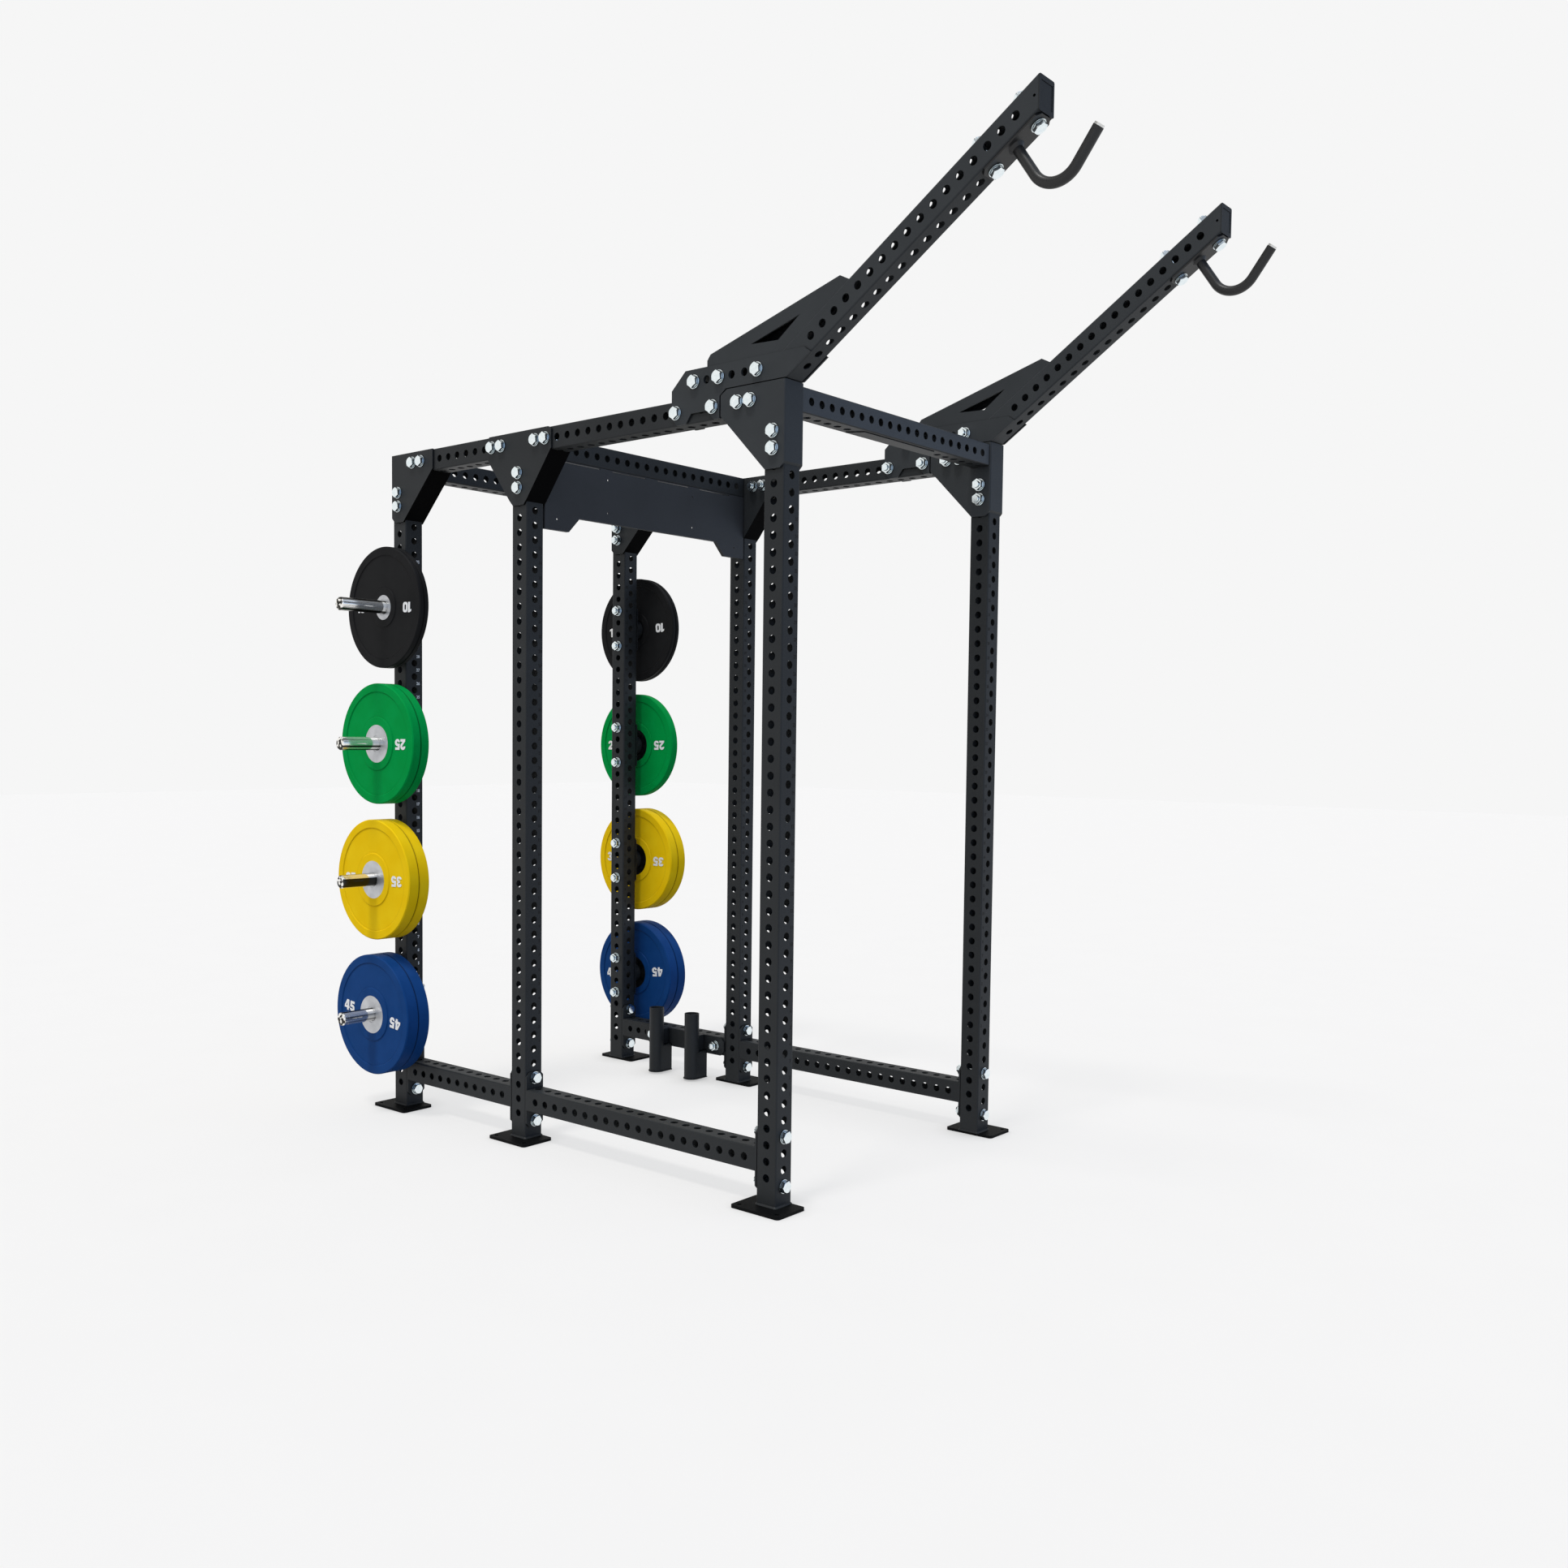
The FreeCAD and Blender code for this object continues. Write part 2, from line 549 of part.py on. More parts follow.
def make_fascia():
    """The folded sheet that hangs below the middle cross beam, seen from the front.

    The origin is the middle of its top edge, on the front face.
    """
    body = new_body("Fascia")
    end = "(bay_width / 2 - plate_thick)"
    leg = "(%s - fascia_leg)" % end
    knee = "(%s - fascia_leg - fascia_slope)" % end
    skin = "fascia_sheet"
    shift = "fascia_sheet * tan(22.5)"
    outline = [("-" + end, "0"), ("-" + end, "-fascia_leg_drop"), ("-" + leg, "-fascia_leg_drop"),
               ("-" + knee, "-fascia_drop"), (knee, "-fascia_drop"), (leg, "-fascia_leg_drop"),
               (end, "-fascia_leg_drop"), (end, "0")]
    front = new_sketch(body, "Outline", "XZ_Plane")
    polygon(front, outline)
    pad(body, "Block", front, "fascia_lip", reverse=True)
    low = "%s - fascia_leg_drop" % skin
    middle = "%s - fascia_drop" % skin
    inner_leg = "(%s + %s)" % (leg, shift)
    inner_knee = "(%s + %s)" % (knee, shift)
    inner_end = "(%s - %s)" % (end, skin)
    inside = [("-" + inner_end, "overrun"), ("-" + inner_end, low), ("-" + inner_leg, low),
              ("-" + inner_knee, middle), (inner_knee, middle), (inner_leg, low),
              (inner_end, low), (inner_end, "overrun")]
    hollow = new_sketch(body, "Inside", "XZ_Plane", "-fascia_sheet")
    polygon(hollow, inside)
    pocket(body, "Hollow", hollow, "fascia_lip", reverse=False)
    slots = new_sketch(body, "SlotSketch", "XZ_Plane")
    for step in (-1.5, -0.5, 0.5, 1.5):
        left = "%s * slot_step - slot_length / 2" % step
        right = "%s * slot_step + slot_length / 2" % step
        polygon(slots, [(left, "-2 * slot_high"), (right, "-2 * slot_high"),
                        (right, "-slot_high"), (left, "-slot_high")])
    pocket(body, "Slots", slots)
    places = [("%d * screw_span / 2" % sign, "-(fascia_drop - screw_rise) / 2 - %s" % rise)
              for sign in (-1, 1) for rise in ("0", "screw_rise")]
    places += [("%d * (%s - screw_edge)" % (sign, end), "screw_foot - fascia_leg_drop")
               for sign in (-1, 1)]
    plain_holes(body, "ScrewHoles", "XZ_Plane", places, "screw_hole / 2")
    return body


def make_strip():
    """The bare strip under the front cross beam; the origin is the middle of its top."""
    body = new_body("Strip")
    half = "strip_length / 2"
    outline = [("-" + half, "-strip_width / 2"), (half, "-strip_width / 2"),
               (half + " + strip_cut", "strip_width / 2"),
               ("-%s - strip_cut" % half, "strip_width / 2")]
    sketch = new_sketch(body, "Outline", "XY_Plane")
    polygon(sketch, outline)
    pad(body, "Sheet", sketch, "strip_thick", reverse=True)
    return body


# The arm's own frame: the origin lies on its base tube's axis, below the post's front face.
# The sloped tube starts a little behind that, and rises towards the front.
ARM_END = "(arm_hole_start + (arm_holes - 1) * arm_pitch + arm_tail)"


def tilted(distance, height):
    """Formulas for the place of a point given along and square to the arm's axis."""
    y = "(arm_start - (%s) * cos(arm_tilt) + (%s) * sin(arm_tilt))" % (distance, height)
    z = "((%s) * sin(arm_tilt) + (%s) * cos(arm_tilt))" % (distance, height)
    return y, z


def make_arm_tube():
    """The sloped tube, cut upright at its end and level at its foot."""
    body = new_body("ArmTube")
    section = new_sketch(body, "Section", "XZ_Plane", "-tube_side * 2")
    tube_section(section)
    pad(body, "Tube", section, ARM_END + " + tube_side * 4")
    row_of_holes(body, "SideHoles", "YZ_Plane", "Y_Axis",
                 "-(arm_hole_start + (arm_holes - 1) * arm_pitch)", "0", "arm_holes",
                 "arm_pitch")
    last = "-(arm_hole_start + (arm_holes - 0.5) * arm_pitch)"
    row_of_holes(body, "TopHoles", "XY_Plane", "Y_Axis", "0", last, "(arm_holes + 2)",
                 "arm_pitch")
    screw = "-(%s - arm_tail / 6)" % ARM_END
    plain_holes(body, "ScrewHole", "YZ_Plane", [(screw, "0")], "arm_screw / 2")
    body.Placement = Placement(Vector(0, number("arm_start"), 0),
                               Rotation(Vector(1, 0, 0), -number("arm_tilt")))
    return body


def make_arm_base():
    """The level tube between the arm's side plates."""
    body = new_body("ArmBase")
    section = new_sketch(body, "Section", "XZ_Plane", "-base_length")
    tube_section(section)
    pad(body, "Tube", section, "base_length + tube_side * 2")
    row_of_holes(body, "SideHoles", "YZ_Plane", "Y_Axis", "2 * hole_pitch", "0", "base_holes")
    return body


def make_arm_ears():
    """The two side plates that clasp the foot of the arm and the beam below it."""
    body = new_body("ArmEars")
    top = HALF
    beam_top = "(-tube_side / 2 - arm_lift)"
    low = "(%s - tube_side)" % beam_top
    tail = "(base_length + ear_tail)"
    gusset_end = "(tube_side + gusset_reach + ear_gap)"
    nose = tilted("ear_reach", "-tube_side / 2 - ear_proud")
    foot = ("(%s + (%s + tube_side / 2) / tan(arm_tilt))" % nose, "-tube_side / 2")
    relief_start = "(tube_side + 3.5 * hole_pitch + ear_foot)"
    outline = [("-ear_nose", top), ("base_length", top), (tail, "%s - ear_slope" % top),
               (tail, "%s + ear_foot" % low), (tail + " - ear_foot", low),
               (relief_start + " + relief_length", low),
               (relief_start + " + relief_length - relief_slope", low + " + relief_high"),
               (relief_start + " + relief_slope", low + " + relief_high"),
               (relief_start, low), (gusset_end, low),
               (gusset_end, beam_top + " + plate_thick - nose_high"),
               (gusset_end + " - nose_long", "-tube_side / 2"), foot, nose]
    sides = new_sketch(body, "Outline", "YZ_Plane")
    polygon(sides, outline)
    pad(body, "Block", sides, GUSSET_WIDTH, centred=True)
    inside = [("-(ear_nose * 2)", low + " - overrun"), (tail + " + overrun", low + " - overrun"),
              (tail + " + overrun", top + " + overrun"), ("-(ear_nose * 2)", top + " + overrun")]
    hollow = new_sketch(body, "Inside", "YZ_Plane")
    polygon(hollow, inside)
    centred_pocket(body, "Hollow", hollow, "tube_side")
    upper = [("%d * hole_pitch" % step, "0") for step in (2, 3, 4, 5, 6, 7)]
    beam_axis = "(-tube_side - arm_lift)"
    lower = [("tube_side + %d * hole_pitch" % step, beam_axis) for step in (4, 7)]
    plain_holes(body, "BoltHoles", "YZ_Plane", upper + lower, "hole_size / 2")
    return body


def make_arm_web():
    """The boxed web in the angle above the arm's foot, with its three-cornered window."""
    body = new_body("ArmWeb")
    base = HALF
    sunk = "(tube_side / 2 - web_sink)"
    heel = "(base_length - web_heel)"
    shoulder = "(%s - web_round)" % heel
    tip = tilted("web_end + web_sink / 2", sunk)
    crest = tilted("web_end - 1.3 * web_round", "tube_side / 2 + web_nose_high")
    crook_y, crook_z = tilted("0", sunk)
    crook = ("%s + (%s - %s) / tan(arm_tilt)" % (crook_y, crook_z, sunk), sunk)
    outline = [crook, (heel, sunk), (heel, base + " + web_heel_high"),
               (shoulder, base + " + web_heel_high + 1.3 * web_round"), crest, tip]
    sides = new_sketch(body, "Outline", "YZ_Plane")
    polygon(sides, outline)
    pad(body, "Block", sides, "tube_side - 2 * web_inset", centred=True)
    inner_heel = "(%s - plate_thick)" % heel
    inner_tip = tilted("web_end - 3 * plate_thick", sunk + " - overrun")
    inner_crest = tilted("web_end - 1.3 * web_round - 1.5 * plate_thick",
                         "tube_side / 2 + web_nose_high - 1.3 * plate_thick")
    inside = [(crook[0], base + " - overrun"), (inner_heel, base + " - overrun"),
              (inner_heel, base + " + web_heel_high - plate_thick / 2"),
              (shoulder, base + " + web_heel_high + 1.3 * web_round - 1.3 * plate_thick"),
              inner_crest, inner_tip]
    hollow = new_sketch(body, "Inside", "YZ_Plane")
    polygon(hollow, inside)
    centred_pocket(body, "Hollow", hollow, "tube_side - 2 * plate_thick")
    rise = "(%s - tube_side / 2)" % crest[1]
    run = "(%s - %s)" % (heel, crest[0])
    shares = [(0.347, 0.229), (0.718, 0.544), (0.555, 0.204)]
    window = [("%s - %s * %s" % (heel, along, run), "%s + %s * %s" % (base, up, rise))
              for along, up in shares]
    cut = new_sketch(body, "Window", "YZ_Plane")
    polygon(cut, window)
    pocket(body, "WindowCut", cut)
    return body


def block(name, width, depth, height, place):
    """A plain box for trimming, centred in X."""
    box = doc.addObject("Part::Box", name)
    bind(box, "Length", width)
    bind(box, "Width", depth)
    bind(box, "Height", height)
    box.Placement = place
    return box


def cut_from(name, base, tool):
    result = doc.addObject("Part::Cut", name)
    result.Base = base
    result.Tool = tool
    result.Refine = False
    return result


def make_arm():
    """One raised arm: a welded assembly of two tubes, two ears, a sole and a web."""
    wide = "(tube_side * 3)"
    half_wide = -number(wide) / 2
    end_y, end_z = (number(text) for text in tilted(ARM_END, "0"))
    reach = "(tube_side * 6)"
    beyond = Placement(Vector(half_wide, end_y - number(reach), end_z - number(reach) / 2),
                       Rotation())
    tip = block("TipTrim", wide, reach, reach, beyond)
    below = Placement(Vector(half_wide, -number(reach) / 2, -number(HALF) - number(reach)),
                      Rotation())
    foot = block("FootTrim", wide, reach, reach, below)
    tube = cut_from("ArmTipCut", make_arm_tube(), tip)
    tube = cut_from("ArmFootCut", tube, foot)
    tilt = Rotation(Vector(1, 0, 0), -number("arm_tilt"))
    corner = Vector(half_wide, -number(reach), -number(reach) + number(HALF))
    slab_place = Placement(Vector(0, number("arm_start"), 0), tilt).multiply(
        Placement(corner, Rotation()))
    slab = block("BaseTrim", wide, reach + " * 2", reach, slab_place)
    base = cut_from("ArmBaseCut", make_arm_base(), slab)
    arm = doc.addObject("Part::MultiFuse", "Arm")
    arm.Shapes = [tube, base, make_arm_ears(), make_arm_web()]
    arm.Refine = False
    return arm


def make_arm_cap():
    """The end cap of an arm, in the arm's own frame."""
    body = new_body("ArmCap")
    end_y, end_z = tilted(ARM_END, "0")
    high = "(tube_side / 2 / cos(arm_tilt))"
    low = "%s - %s" % (end_z, high)
    top = "%s + %s" % (end_z, high)
    outer = new_sketch(body, "Outline", "XZ_Plane", "-(%s)" % end_y)
    rounded_box(outer, "-" + HALF, HALF, low, top, "tube_corner")
    pad(body, "Sheet", outer, "cap_plate")
    field = new_sketch(body, "FieldSketch", "XZ_Plane", "-(%s) + cap_plate" % end_y)
    polygon(field, [("cap_frame - " + HALF, low + " + cap_frame * 1.5"),
                    (HALF + " - cap_frame", low + " + cap_frame * 1.5"),
                    (HALF + " - cap_frame", top + " - cap_frame * 1.5"),
                    ("cap_frame - " + HALF, top + " - cap_frame * 1.5")])
    pocket(body, "Field", field, "cap_recess")
    return body


def make_hook():
    """The hook's plate and its bent round bar; the origin is on the arm's lower face.

    Y runs down the arm and Z square out of its upper face, as on the sloped tube.
    """
    body = new_body("HookPlate")
    along = "hook_plate_length / 2"
    across = "hook_plate_width / 2"
    outline = []
    for sx, sy in ((1, 1), (-1, 1), (-1, -1), (1, -1)):
        flank = ("%d * %s" % (sx, across), "%d * (%s - hook_chamfer)" % (sy, along))
        end = ("%d * (%s - hook_chamfer)" % (sx, across), "%d * %s" % (sy, along))
        outline += [flank, end] if sx * sy > 0 else [end, flank]
    sheet_sketch = new_sketch(body, "Outline", "XY_Plane")
    polygon(sheet_sketch, outline)
    pad(body, "Sheet", sheet_sketch, "plate_thick", reverse=True)
    places = [("0", "%d * 1.5 * arm_pitch" % sign) for sign in (-1, 1)]
    plain_holes(body, "BoltHoles", "XY_Plane", places, "hole_size / 2")
    down = number("-plate_thick")
    leg = number("hook_leg")
    bend = number("hook_bend")
    turn = math.radians(number("hook_turn"))
    start = Vector(0, 0, down)
    low = Vector(0, 0, down - leg)
    centre = low + Vector(0, -bend, 0)
    middle = centre + Vector(0, math.cos(turn / 2), -math.sin(turn / 2)) * bend
    after = centre + Vector(0, math.cos(turn), -math.sin(turn)) * bend
    heading = Vector(0, -math.sin(turn), -math.cos(turn))
    tip = after + heading * number("hook_tip - hook_end")
    path = Part.Wire([Part.makeLine(start, low), Part.Arc(low, middle, after).toShape(),
                      Part.makeLine(after, tip)])
    radius = number("hook_bar / 2")
    section = Part.Wire([Part.makeCircle(radius, start, Vector(0, 0, -1))])
    bar = path.makePipeShell([section], True, False)
    collar_size = radius + number("hook_collar")
    collar = Part.makeCone(collar_size, radius, number("hook_collar"), start, Vector(0, 0, -1))
    rod = doc.addObject("Part::Feature", "HookBar")
    stub = Part.makeCylinder(radius - number("hook_end_step"), number("hook_end * 2"),
                             tip - heading * number("hook_end"), heading)
    rod.Shape = bar.fuse([collar, stub])
    hook = doc.addObject("Part::MultiFuse", "Hook")
    hook.Shapes = [body, rod]
    hook.Refine = False
    return hook


def make_peg():
    """A storage peg that points along X: its black base and collar, and its bright sleeve."""
    base = new_body("PegBase")
    high = "(1.5 * hole_pitch + peg_margin)"
    outline = []
    for sy, sz in ((1, 1), (-1, 1), (-1, -1), (1, -1)):
        flank = ("%d * %s" % (sy, HALF), "%d * (%s - flange_chamfer)" % (sz, high))
        end = ("%d * (%s - flange_chamfer)" % (sy, HALF), "%d * %s" % (sz, high))
        outline += [flank, end] if sy * sz > 0 else [end, flank]
    sheet_sketch = new_sketch(base, "Outline", "YZ_Plane")
    polygon(sheet_sketch, outline)
    pad(base, "Sheet", sheet_sketch, "plate_thick")
    ring = new_sketch(base, "CollarSketch", "YZ_Plane", "plate_thick")
    circle(ring, "0", "0", "collar_size / 2")
    pad(base, "Collar", ring, "plate_seat - plate_thick")
    places = [("0", "%d * 1.5 * hole_pitch" % sign) for sign in (-1, 1)]
    plain_holes(base, "BoltHoles", "YZ_Plane", places, "hole_size / 2")
    sleeve = new_body("PegSleeve")
    profile = new_sketch(sleeve, "Profile", "XY_Plane")
    tip = "peg_reach"
    seam = "(peg_reach - peg_cap)"
    groove_out = "(peg_ring + peg_ring_cut) / 2"
    groove_in = "(peg_ring - peg_ring_cut) / 2"
    polygon(profile, [("plate_seat", "0"), ("plate_seat", "peg_bar / 2"),
                      (seam + " - peg_seam", "peg_bar / 2"),
                      (seam + " - peg_seam", "peg_bar / 2 - peg_seam"),
                      (seam, "peg_bar / 2 - peg_seam"), (seam, "peg_bar / 2"),
                      (tip + " - peg_chamfer", "peg_bar / 2"),
                      (tip, "peg_bar / 2 - peg_chamfer"),
                      (tip, groove_out), (tip + " - peg_ring_cut", groove_out),
                      (tip + " - peg_ring_cut", groove_in), (tip, groove_in),
                      (tip, "peg_plug_hole / 2"),
                      (tip + " - peg_plug", "peg_plug_hole / 2"),
                      (tip + " - peg_plug", "peg_bar / 2 - peg_wall"),
                      ("plate_seat + peg_plug", "peg_bar / 2 - peg_wall"),
                      ("plate_seat + peg_plug", "0")])
    turn = sleeve.newObject("PartDesign::Revolution", "Turned")
    turn.Profile = profile
    turn.ReferenceAxis = (origin_part(sleeve, "X_Axis"), [""])
    turn.Angle = 360
    return compound("Peg", [base, sleeve])


def make_disc(name, thick, hub, ring):
    """A weight plate that faces X, as a rubber disc moulded round a steel hub."""
    rubber = new_body(name + "Rubber")
    outer = "disc_size / 2"
    rim = "(disc_size / 2 - disc_rim)"
    deep = "disc_recess"
    profile = new_sketch(rubber, "Profile", "XY_Plane")
    polygon(profile, [("0", hub), ("0", ring), (deep, "%s + %s" % (ring, deep)),
                      (deep, "%s - %s" % (rim, deep)), ("0", rim),
                      ("0", outer + " - disc_edge"), ("disc_edge", outer),
                      (thick + " - disc_edge", outer), (thick, outer + " - disc_edge"),
                      (thick, rim), ("%s - %s" % (thick, deep), "%s - %s" % (rim, deep)),
                      ("%s - %s" % (thick, deep), "%s + %s" % (ring, deep)),
                      (thick, ring), (thick, hub)])
    turn = rubber.newObject("PartDesign::Revolution", "Turned")
    turn.Profile = profile
    turn.ReferenceAxis = (origin_part(rubber, "X_Axis"), [""])
    turn.Angle = 360
    steel = new_body(name + "Hub")
    section = new_sketch(steel, "Profile", "XY_Plane")
    bore = "disc_bore / 2"
    sink = "hub_sink / 2"
    low = "hub_sink_deep"
    high = "%s - hub_sink_deep" % thick
    polygon(section, [(low, bore), (low, sink), ("0", sink), ("0", hub), (thick, hub),
                      (thick, sink), (high, sink), (high, bore)])
    turn = steel.newObject("PartDesign::Revolution", "Turned")
    turn.Profile = section
    turn.ReferenceAxis = (origin_part(steel, "X_Axis"), [""])
    turn.Angle = 360
    return compound(name, [rubber, steel])


def make_bar_holder():
    """Two upright tubes on a plate that bolts to a lower beam's inner face.

    The origin is on that face, level with the beam's axis; the tubes stand towards -X.
    """
    body = new_body("BarHolder")
    long_half = "(3.5 * hole_pitch + holder_margin)"
    outline = []
    for sy, sz in ((1, 1), (-1, 1), (-1, -1), (1, -1)):
        flank = ("%d * %s" % (sy, long_half), "%d * (%s - holder_chamfer)" % (sz, HALF))
        end = ("%d * (%s - holder_chamfer)" % (sy, long_half), "%d * %s" % (sz, HALF))
        outline += [flank, end] if sy * sz > 0 else [end, flank]
    back = new_sketch(body, "Outline", "YZ_Plane")
    polygon(back, outline)
    pad(body, "Sheet", back, "plate_thick", reverse=True)
    tall = "(holder_up + holder_down)"
    stand = "-holder_stand"
    for index, sign in enumerate((-1, 1)):
        y = "%d * 2 * hole_pitch" % sign
        side = "%s - holder_tube / 2" % y
        other = "%s + holder_tube / 2" % y
        web = new_sketch(body, "WebSketch%d" % index, "XY_Plane", "-holder_box_top")
        web_side = "%s - holder_web / 2" % y
        web_other = "%s + holder_web / 2" % y
        polygon(web, [(stand, web_side), ("-plate_thick", web_side),
                      ("-plate_thick", web_other), (stand, web_other)])
        pad(body, "Web%d" % index, web, "holder_box_top + " + HALF)
        box = new_sketch(body, "BoxSketch%d" % index, "XY_Plane", "-holder_down")
        polygon(box, [(stand, side), ("-plate_thick", side),
                      ("-plate_thick", other), (stand, other)])
        pad(body, "Box%d" % index, box, "holder_down - holder_box_top")
        tube = new_sketch(body, "TubeSketch%d" % index, "XY_Plane", "-holder_down")
        circle(tube, stand, y, "holder_tube / 2")
        pad(body, "Tube%d" % index, tube, tall)
    for index, sign in enumerate((-1, 1)):
        y = "%d * 2 * hole_pitch" % sign
        bore = new_sketch(body, "BoreSketch%d" % index, "XY_Plane", "holder_up")
        circle(bore, stand, y, "holder_tube / 2 - holder_wall")
        pocket(body, "Bore%d" % index, bore, tall + " + overrun")
        room = new_sketch(body, "RoomSketch%d" % index, "XY_Plane", "-holder_down")
        near_wall = "%s - holder_tube / 2 + holder_wall" % y
        far_wall = "%s + holder_tube / 2 - holder_wall" % y
        polygon(room, [("-holder_stand + holder_tube / 2", near_wall),
                       ("-plate_thick - holder_wall", near_wall),
                       ("-plate_thick - holder_wall", far_wall),
                       ("-holder_stand + holder_tube / 2", far_wall)])
        pocket(body, "Room%d" % index, room, "holder_down - holder_box_top - holder_wall",
               reverse=True)
    for index, sign in enumerate((-1, 1)):
        y = "%d * 2 * hole_pitch" % sign
        side = "%s - holder_tube / 2 - holder_lip" % y
        other = "%s + holder_tube / 2 + holder_lip" % y
        foot = new_sketch(body, "SoleSketch%d" % index, "XY_Plane", "-holder_down")
        polygon(foot, [(stand, side), ("-plate_thick", side),
                       ("-plate_thick", other), (stand, other)])
        pad(body, "Sole%d" % index, foot, "holder_wall", reverse=True)
        nose = new_sketch(body, "NoseSketch%d" % index, "XY_Plane", "-holder_down")
        circle(nose, stand, y, "holder_tube / 2 + holder_lip")
        pad(body, "Nose%d" % index, nose, "holder_wall", reverse=True)
    places = [("%d * 3.5 * hole_pitch" % sign, "0") for sign in (-1, 1)]
    plain_holes(body, "BoltHoles", "YZ_Plane", places, "hole_size / 2")
    return body


def cylinder(name, radius, height, z):
    rod = doc.addObject("Part::Cylinder", name)
    bind(rod, "Radius", radius)
    bind(rod, "Height", height)
    bind(rod, ".Placement.Base.z", z)
    return rod


def hexagon(name, height, z):
    """A hexagonal block whose corners are rounded off by a cone."""
    prism = doc.addObject("Part::Prism", name)
    prism.Polygon = 6
    bind(prism, "Circumradius", "bolt_head / 2 / cos(30)")
    bind(prism, "Height", height)
    bind(prism, ".Placement.Base.z", z)
    return prism


def make_bolt(name, grip):
    """A bolt with two washers and a nut; the head's side of the stack is at the origin.

    The head stands towards +Z and the shank runs down through a stack of the given grip.
    """
    head = hexagon(name + "Head", "head_high", "washer_thick")
    crown = doc.addObject("Part::Cone", name + "Crown")
    bind(crown, "Radius1", "bolt_head / 2 / cos(30) + head_high * tan(60)")
    bind(crown, "Radius2", "bolt_head / 2 * 0.97")
    bind(crown, "Height", "head_high")
    bind(crown, ".Placement.Base.z", "washer_thick")
    rounded = doc.addObject("Part::Common", name + "Rounded")
    rounded.Base = head
    rounded.Tool = crown
    tail = "(%s + washer_thick + nut_high + bolt_tail)" % grip
    shank = cylinder(name + "Shank", "bolt_size / 2", tail + " + washer_thick", "-" + tail)
    screw = doc.addObject("Part::Fuse", name + "Screw")
    screw.Base = rounded
    screw.Tool = shank
    pieces = [screw]
    seats = [("Near", "0"), ("Far", "-%s - washer_thick" % grip)]
    for label, z in seats:
        disc = cylinder(name + label + "Disc", "washer_size / 2", "washer_thick", z)
        hole = cylinder(name + label + "Hole", "(bolt_size + nut_play) / 2",
                        "washer_thick * 3", z + " - washer_thick")
        pieces.append(cut_from(name + label + "Washer", disc, hole))
    nut_z = "-%s - washer_thick - nut_high" % grip
    nut = hexagon(name + "NutBlock", "nut_high", nut_z)
    thread = cylinder(name + "Thread", "(bolt_size + nut_play) / 2", "nut_high * 3",
                      nut_z + " - nut_high")
    pieces.append(cut_from(name + "Nut", nut, thread))
    return compound(name, pieces)


# The frame: posts, beams and the pieces that join them
upright = make_upright()
for side, sign, turn in SIDES:
    for station, y in STATIONS:
        copy_of(upright, "upright_%s_%s" % (station, side), at(side_x(sign), y, "0", turn))

long_lower = make_flanged_beam("LongLowerBeam", "front_bay")
short_lower = make_flanged_beam("ShortLowerBeam", "rear_bay")
long_upper = make_beam("LongUpperBeam", "front_bay", "front_bay")
short_upper = make_beam("ShortUpperBeam", "rear_bay", "rear_bay")
cross = make_beam("CrossBeam", FLANGED % "bay_width", "bay_width")

FRONT_MID = "(%s - %s) / 2" % (MIDDLE_Y, REAR_Y)
REAR_MID = "(%s + %s) / 2" % (REAR_Y, MIDDLE_Y)
for side, sign, turn in SIDES:
    x = side_x(sign)
    copy_of(long_lower, "lower_beam_front_" + side, at(x, FRONT_MID, LOWER_Z))
    copy_of(short_lower, "lower_beam_rear_" + side, at(x, REAR_MID, LOWER_Z))
    copy_of(long_upper, "upper_beam_front_" + side, at(x, FRONT_MID, UPPER_Z))
    copy_of(short_upper, "upper_beam_rear_" + side, at(x, REAR_MID, UPPER_Z))
for station, y in STATIONS:
    copy_of(cross, "cross_beam_" + station, at("0", y, UPPER_Z, 90))

front_gusset = make_corner_gusset("FrontGusset", 1, True)
rear_gusset = make_corner_gusset("RearGusset", -1, False)
tee_gusset = make_tee_gusset()
for side, sign, turn in SIDES:
    x = side_x(sign)
    copy_of(front_gusset, "gusset_front_" + side, at(x, "-" + REAR_Y, TOP_Z))
    copy_of(tee_gusset, "gusset_middle_" + side, at(x, MIDDLE_Y, TOP_Z))
    copy_of(rear_gusset, "gusset_rear_" + side, at(x, REAR_Y, TOP_Z))

keep(make_fascia(), "fascia_panel",
     at("0", "%s - %s" % (MIDDLE_Y, HALF), TOP_Z + " - tube_side"))
keep(make_strip(), "cross_beam_strip", at("0", "-" + REAR_Y, TOP_Z + " - tube_side"))

# Raised arms, their caps and hooks
ARM_Y = "-%s - %s" % (REAR_Y, HALF)
ARM_Z = "%s + arm_lift + %s" % (TOP_Z, HALF)
arm = make_arm()
arm_cap = make_arm_cap()
hook = make_hook()
HOOK_AT = "arm_hole_start + (arm_holes - 2) * arm_pitch"
hook_y, hook_z = tilted(HOOK_AT, "-tube_side / 2")
lean = Rotation(Vector(1, 0, 0), -number("arm_tilt"))
for side, sign, turn in SIDES:
    home = at(side_x(sign), ARM_Y, ARM_Z)
    copy_of(arm, "arm_" + side, home)
    copy_of(arm_cap, "arm_cap_" + side, home)
    seat = Placement(Vector(0, number(hook_y), number(hook_z)), lean)
    copy_of(hook, "arm_hook_" + side, home.multiply(seat))

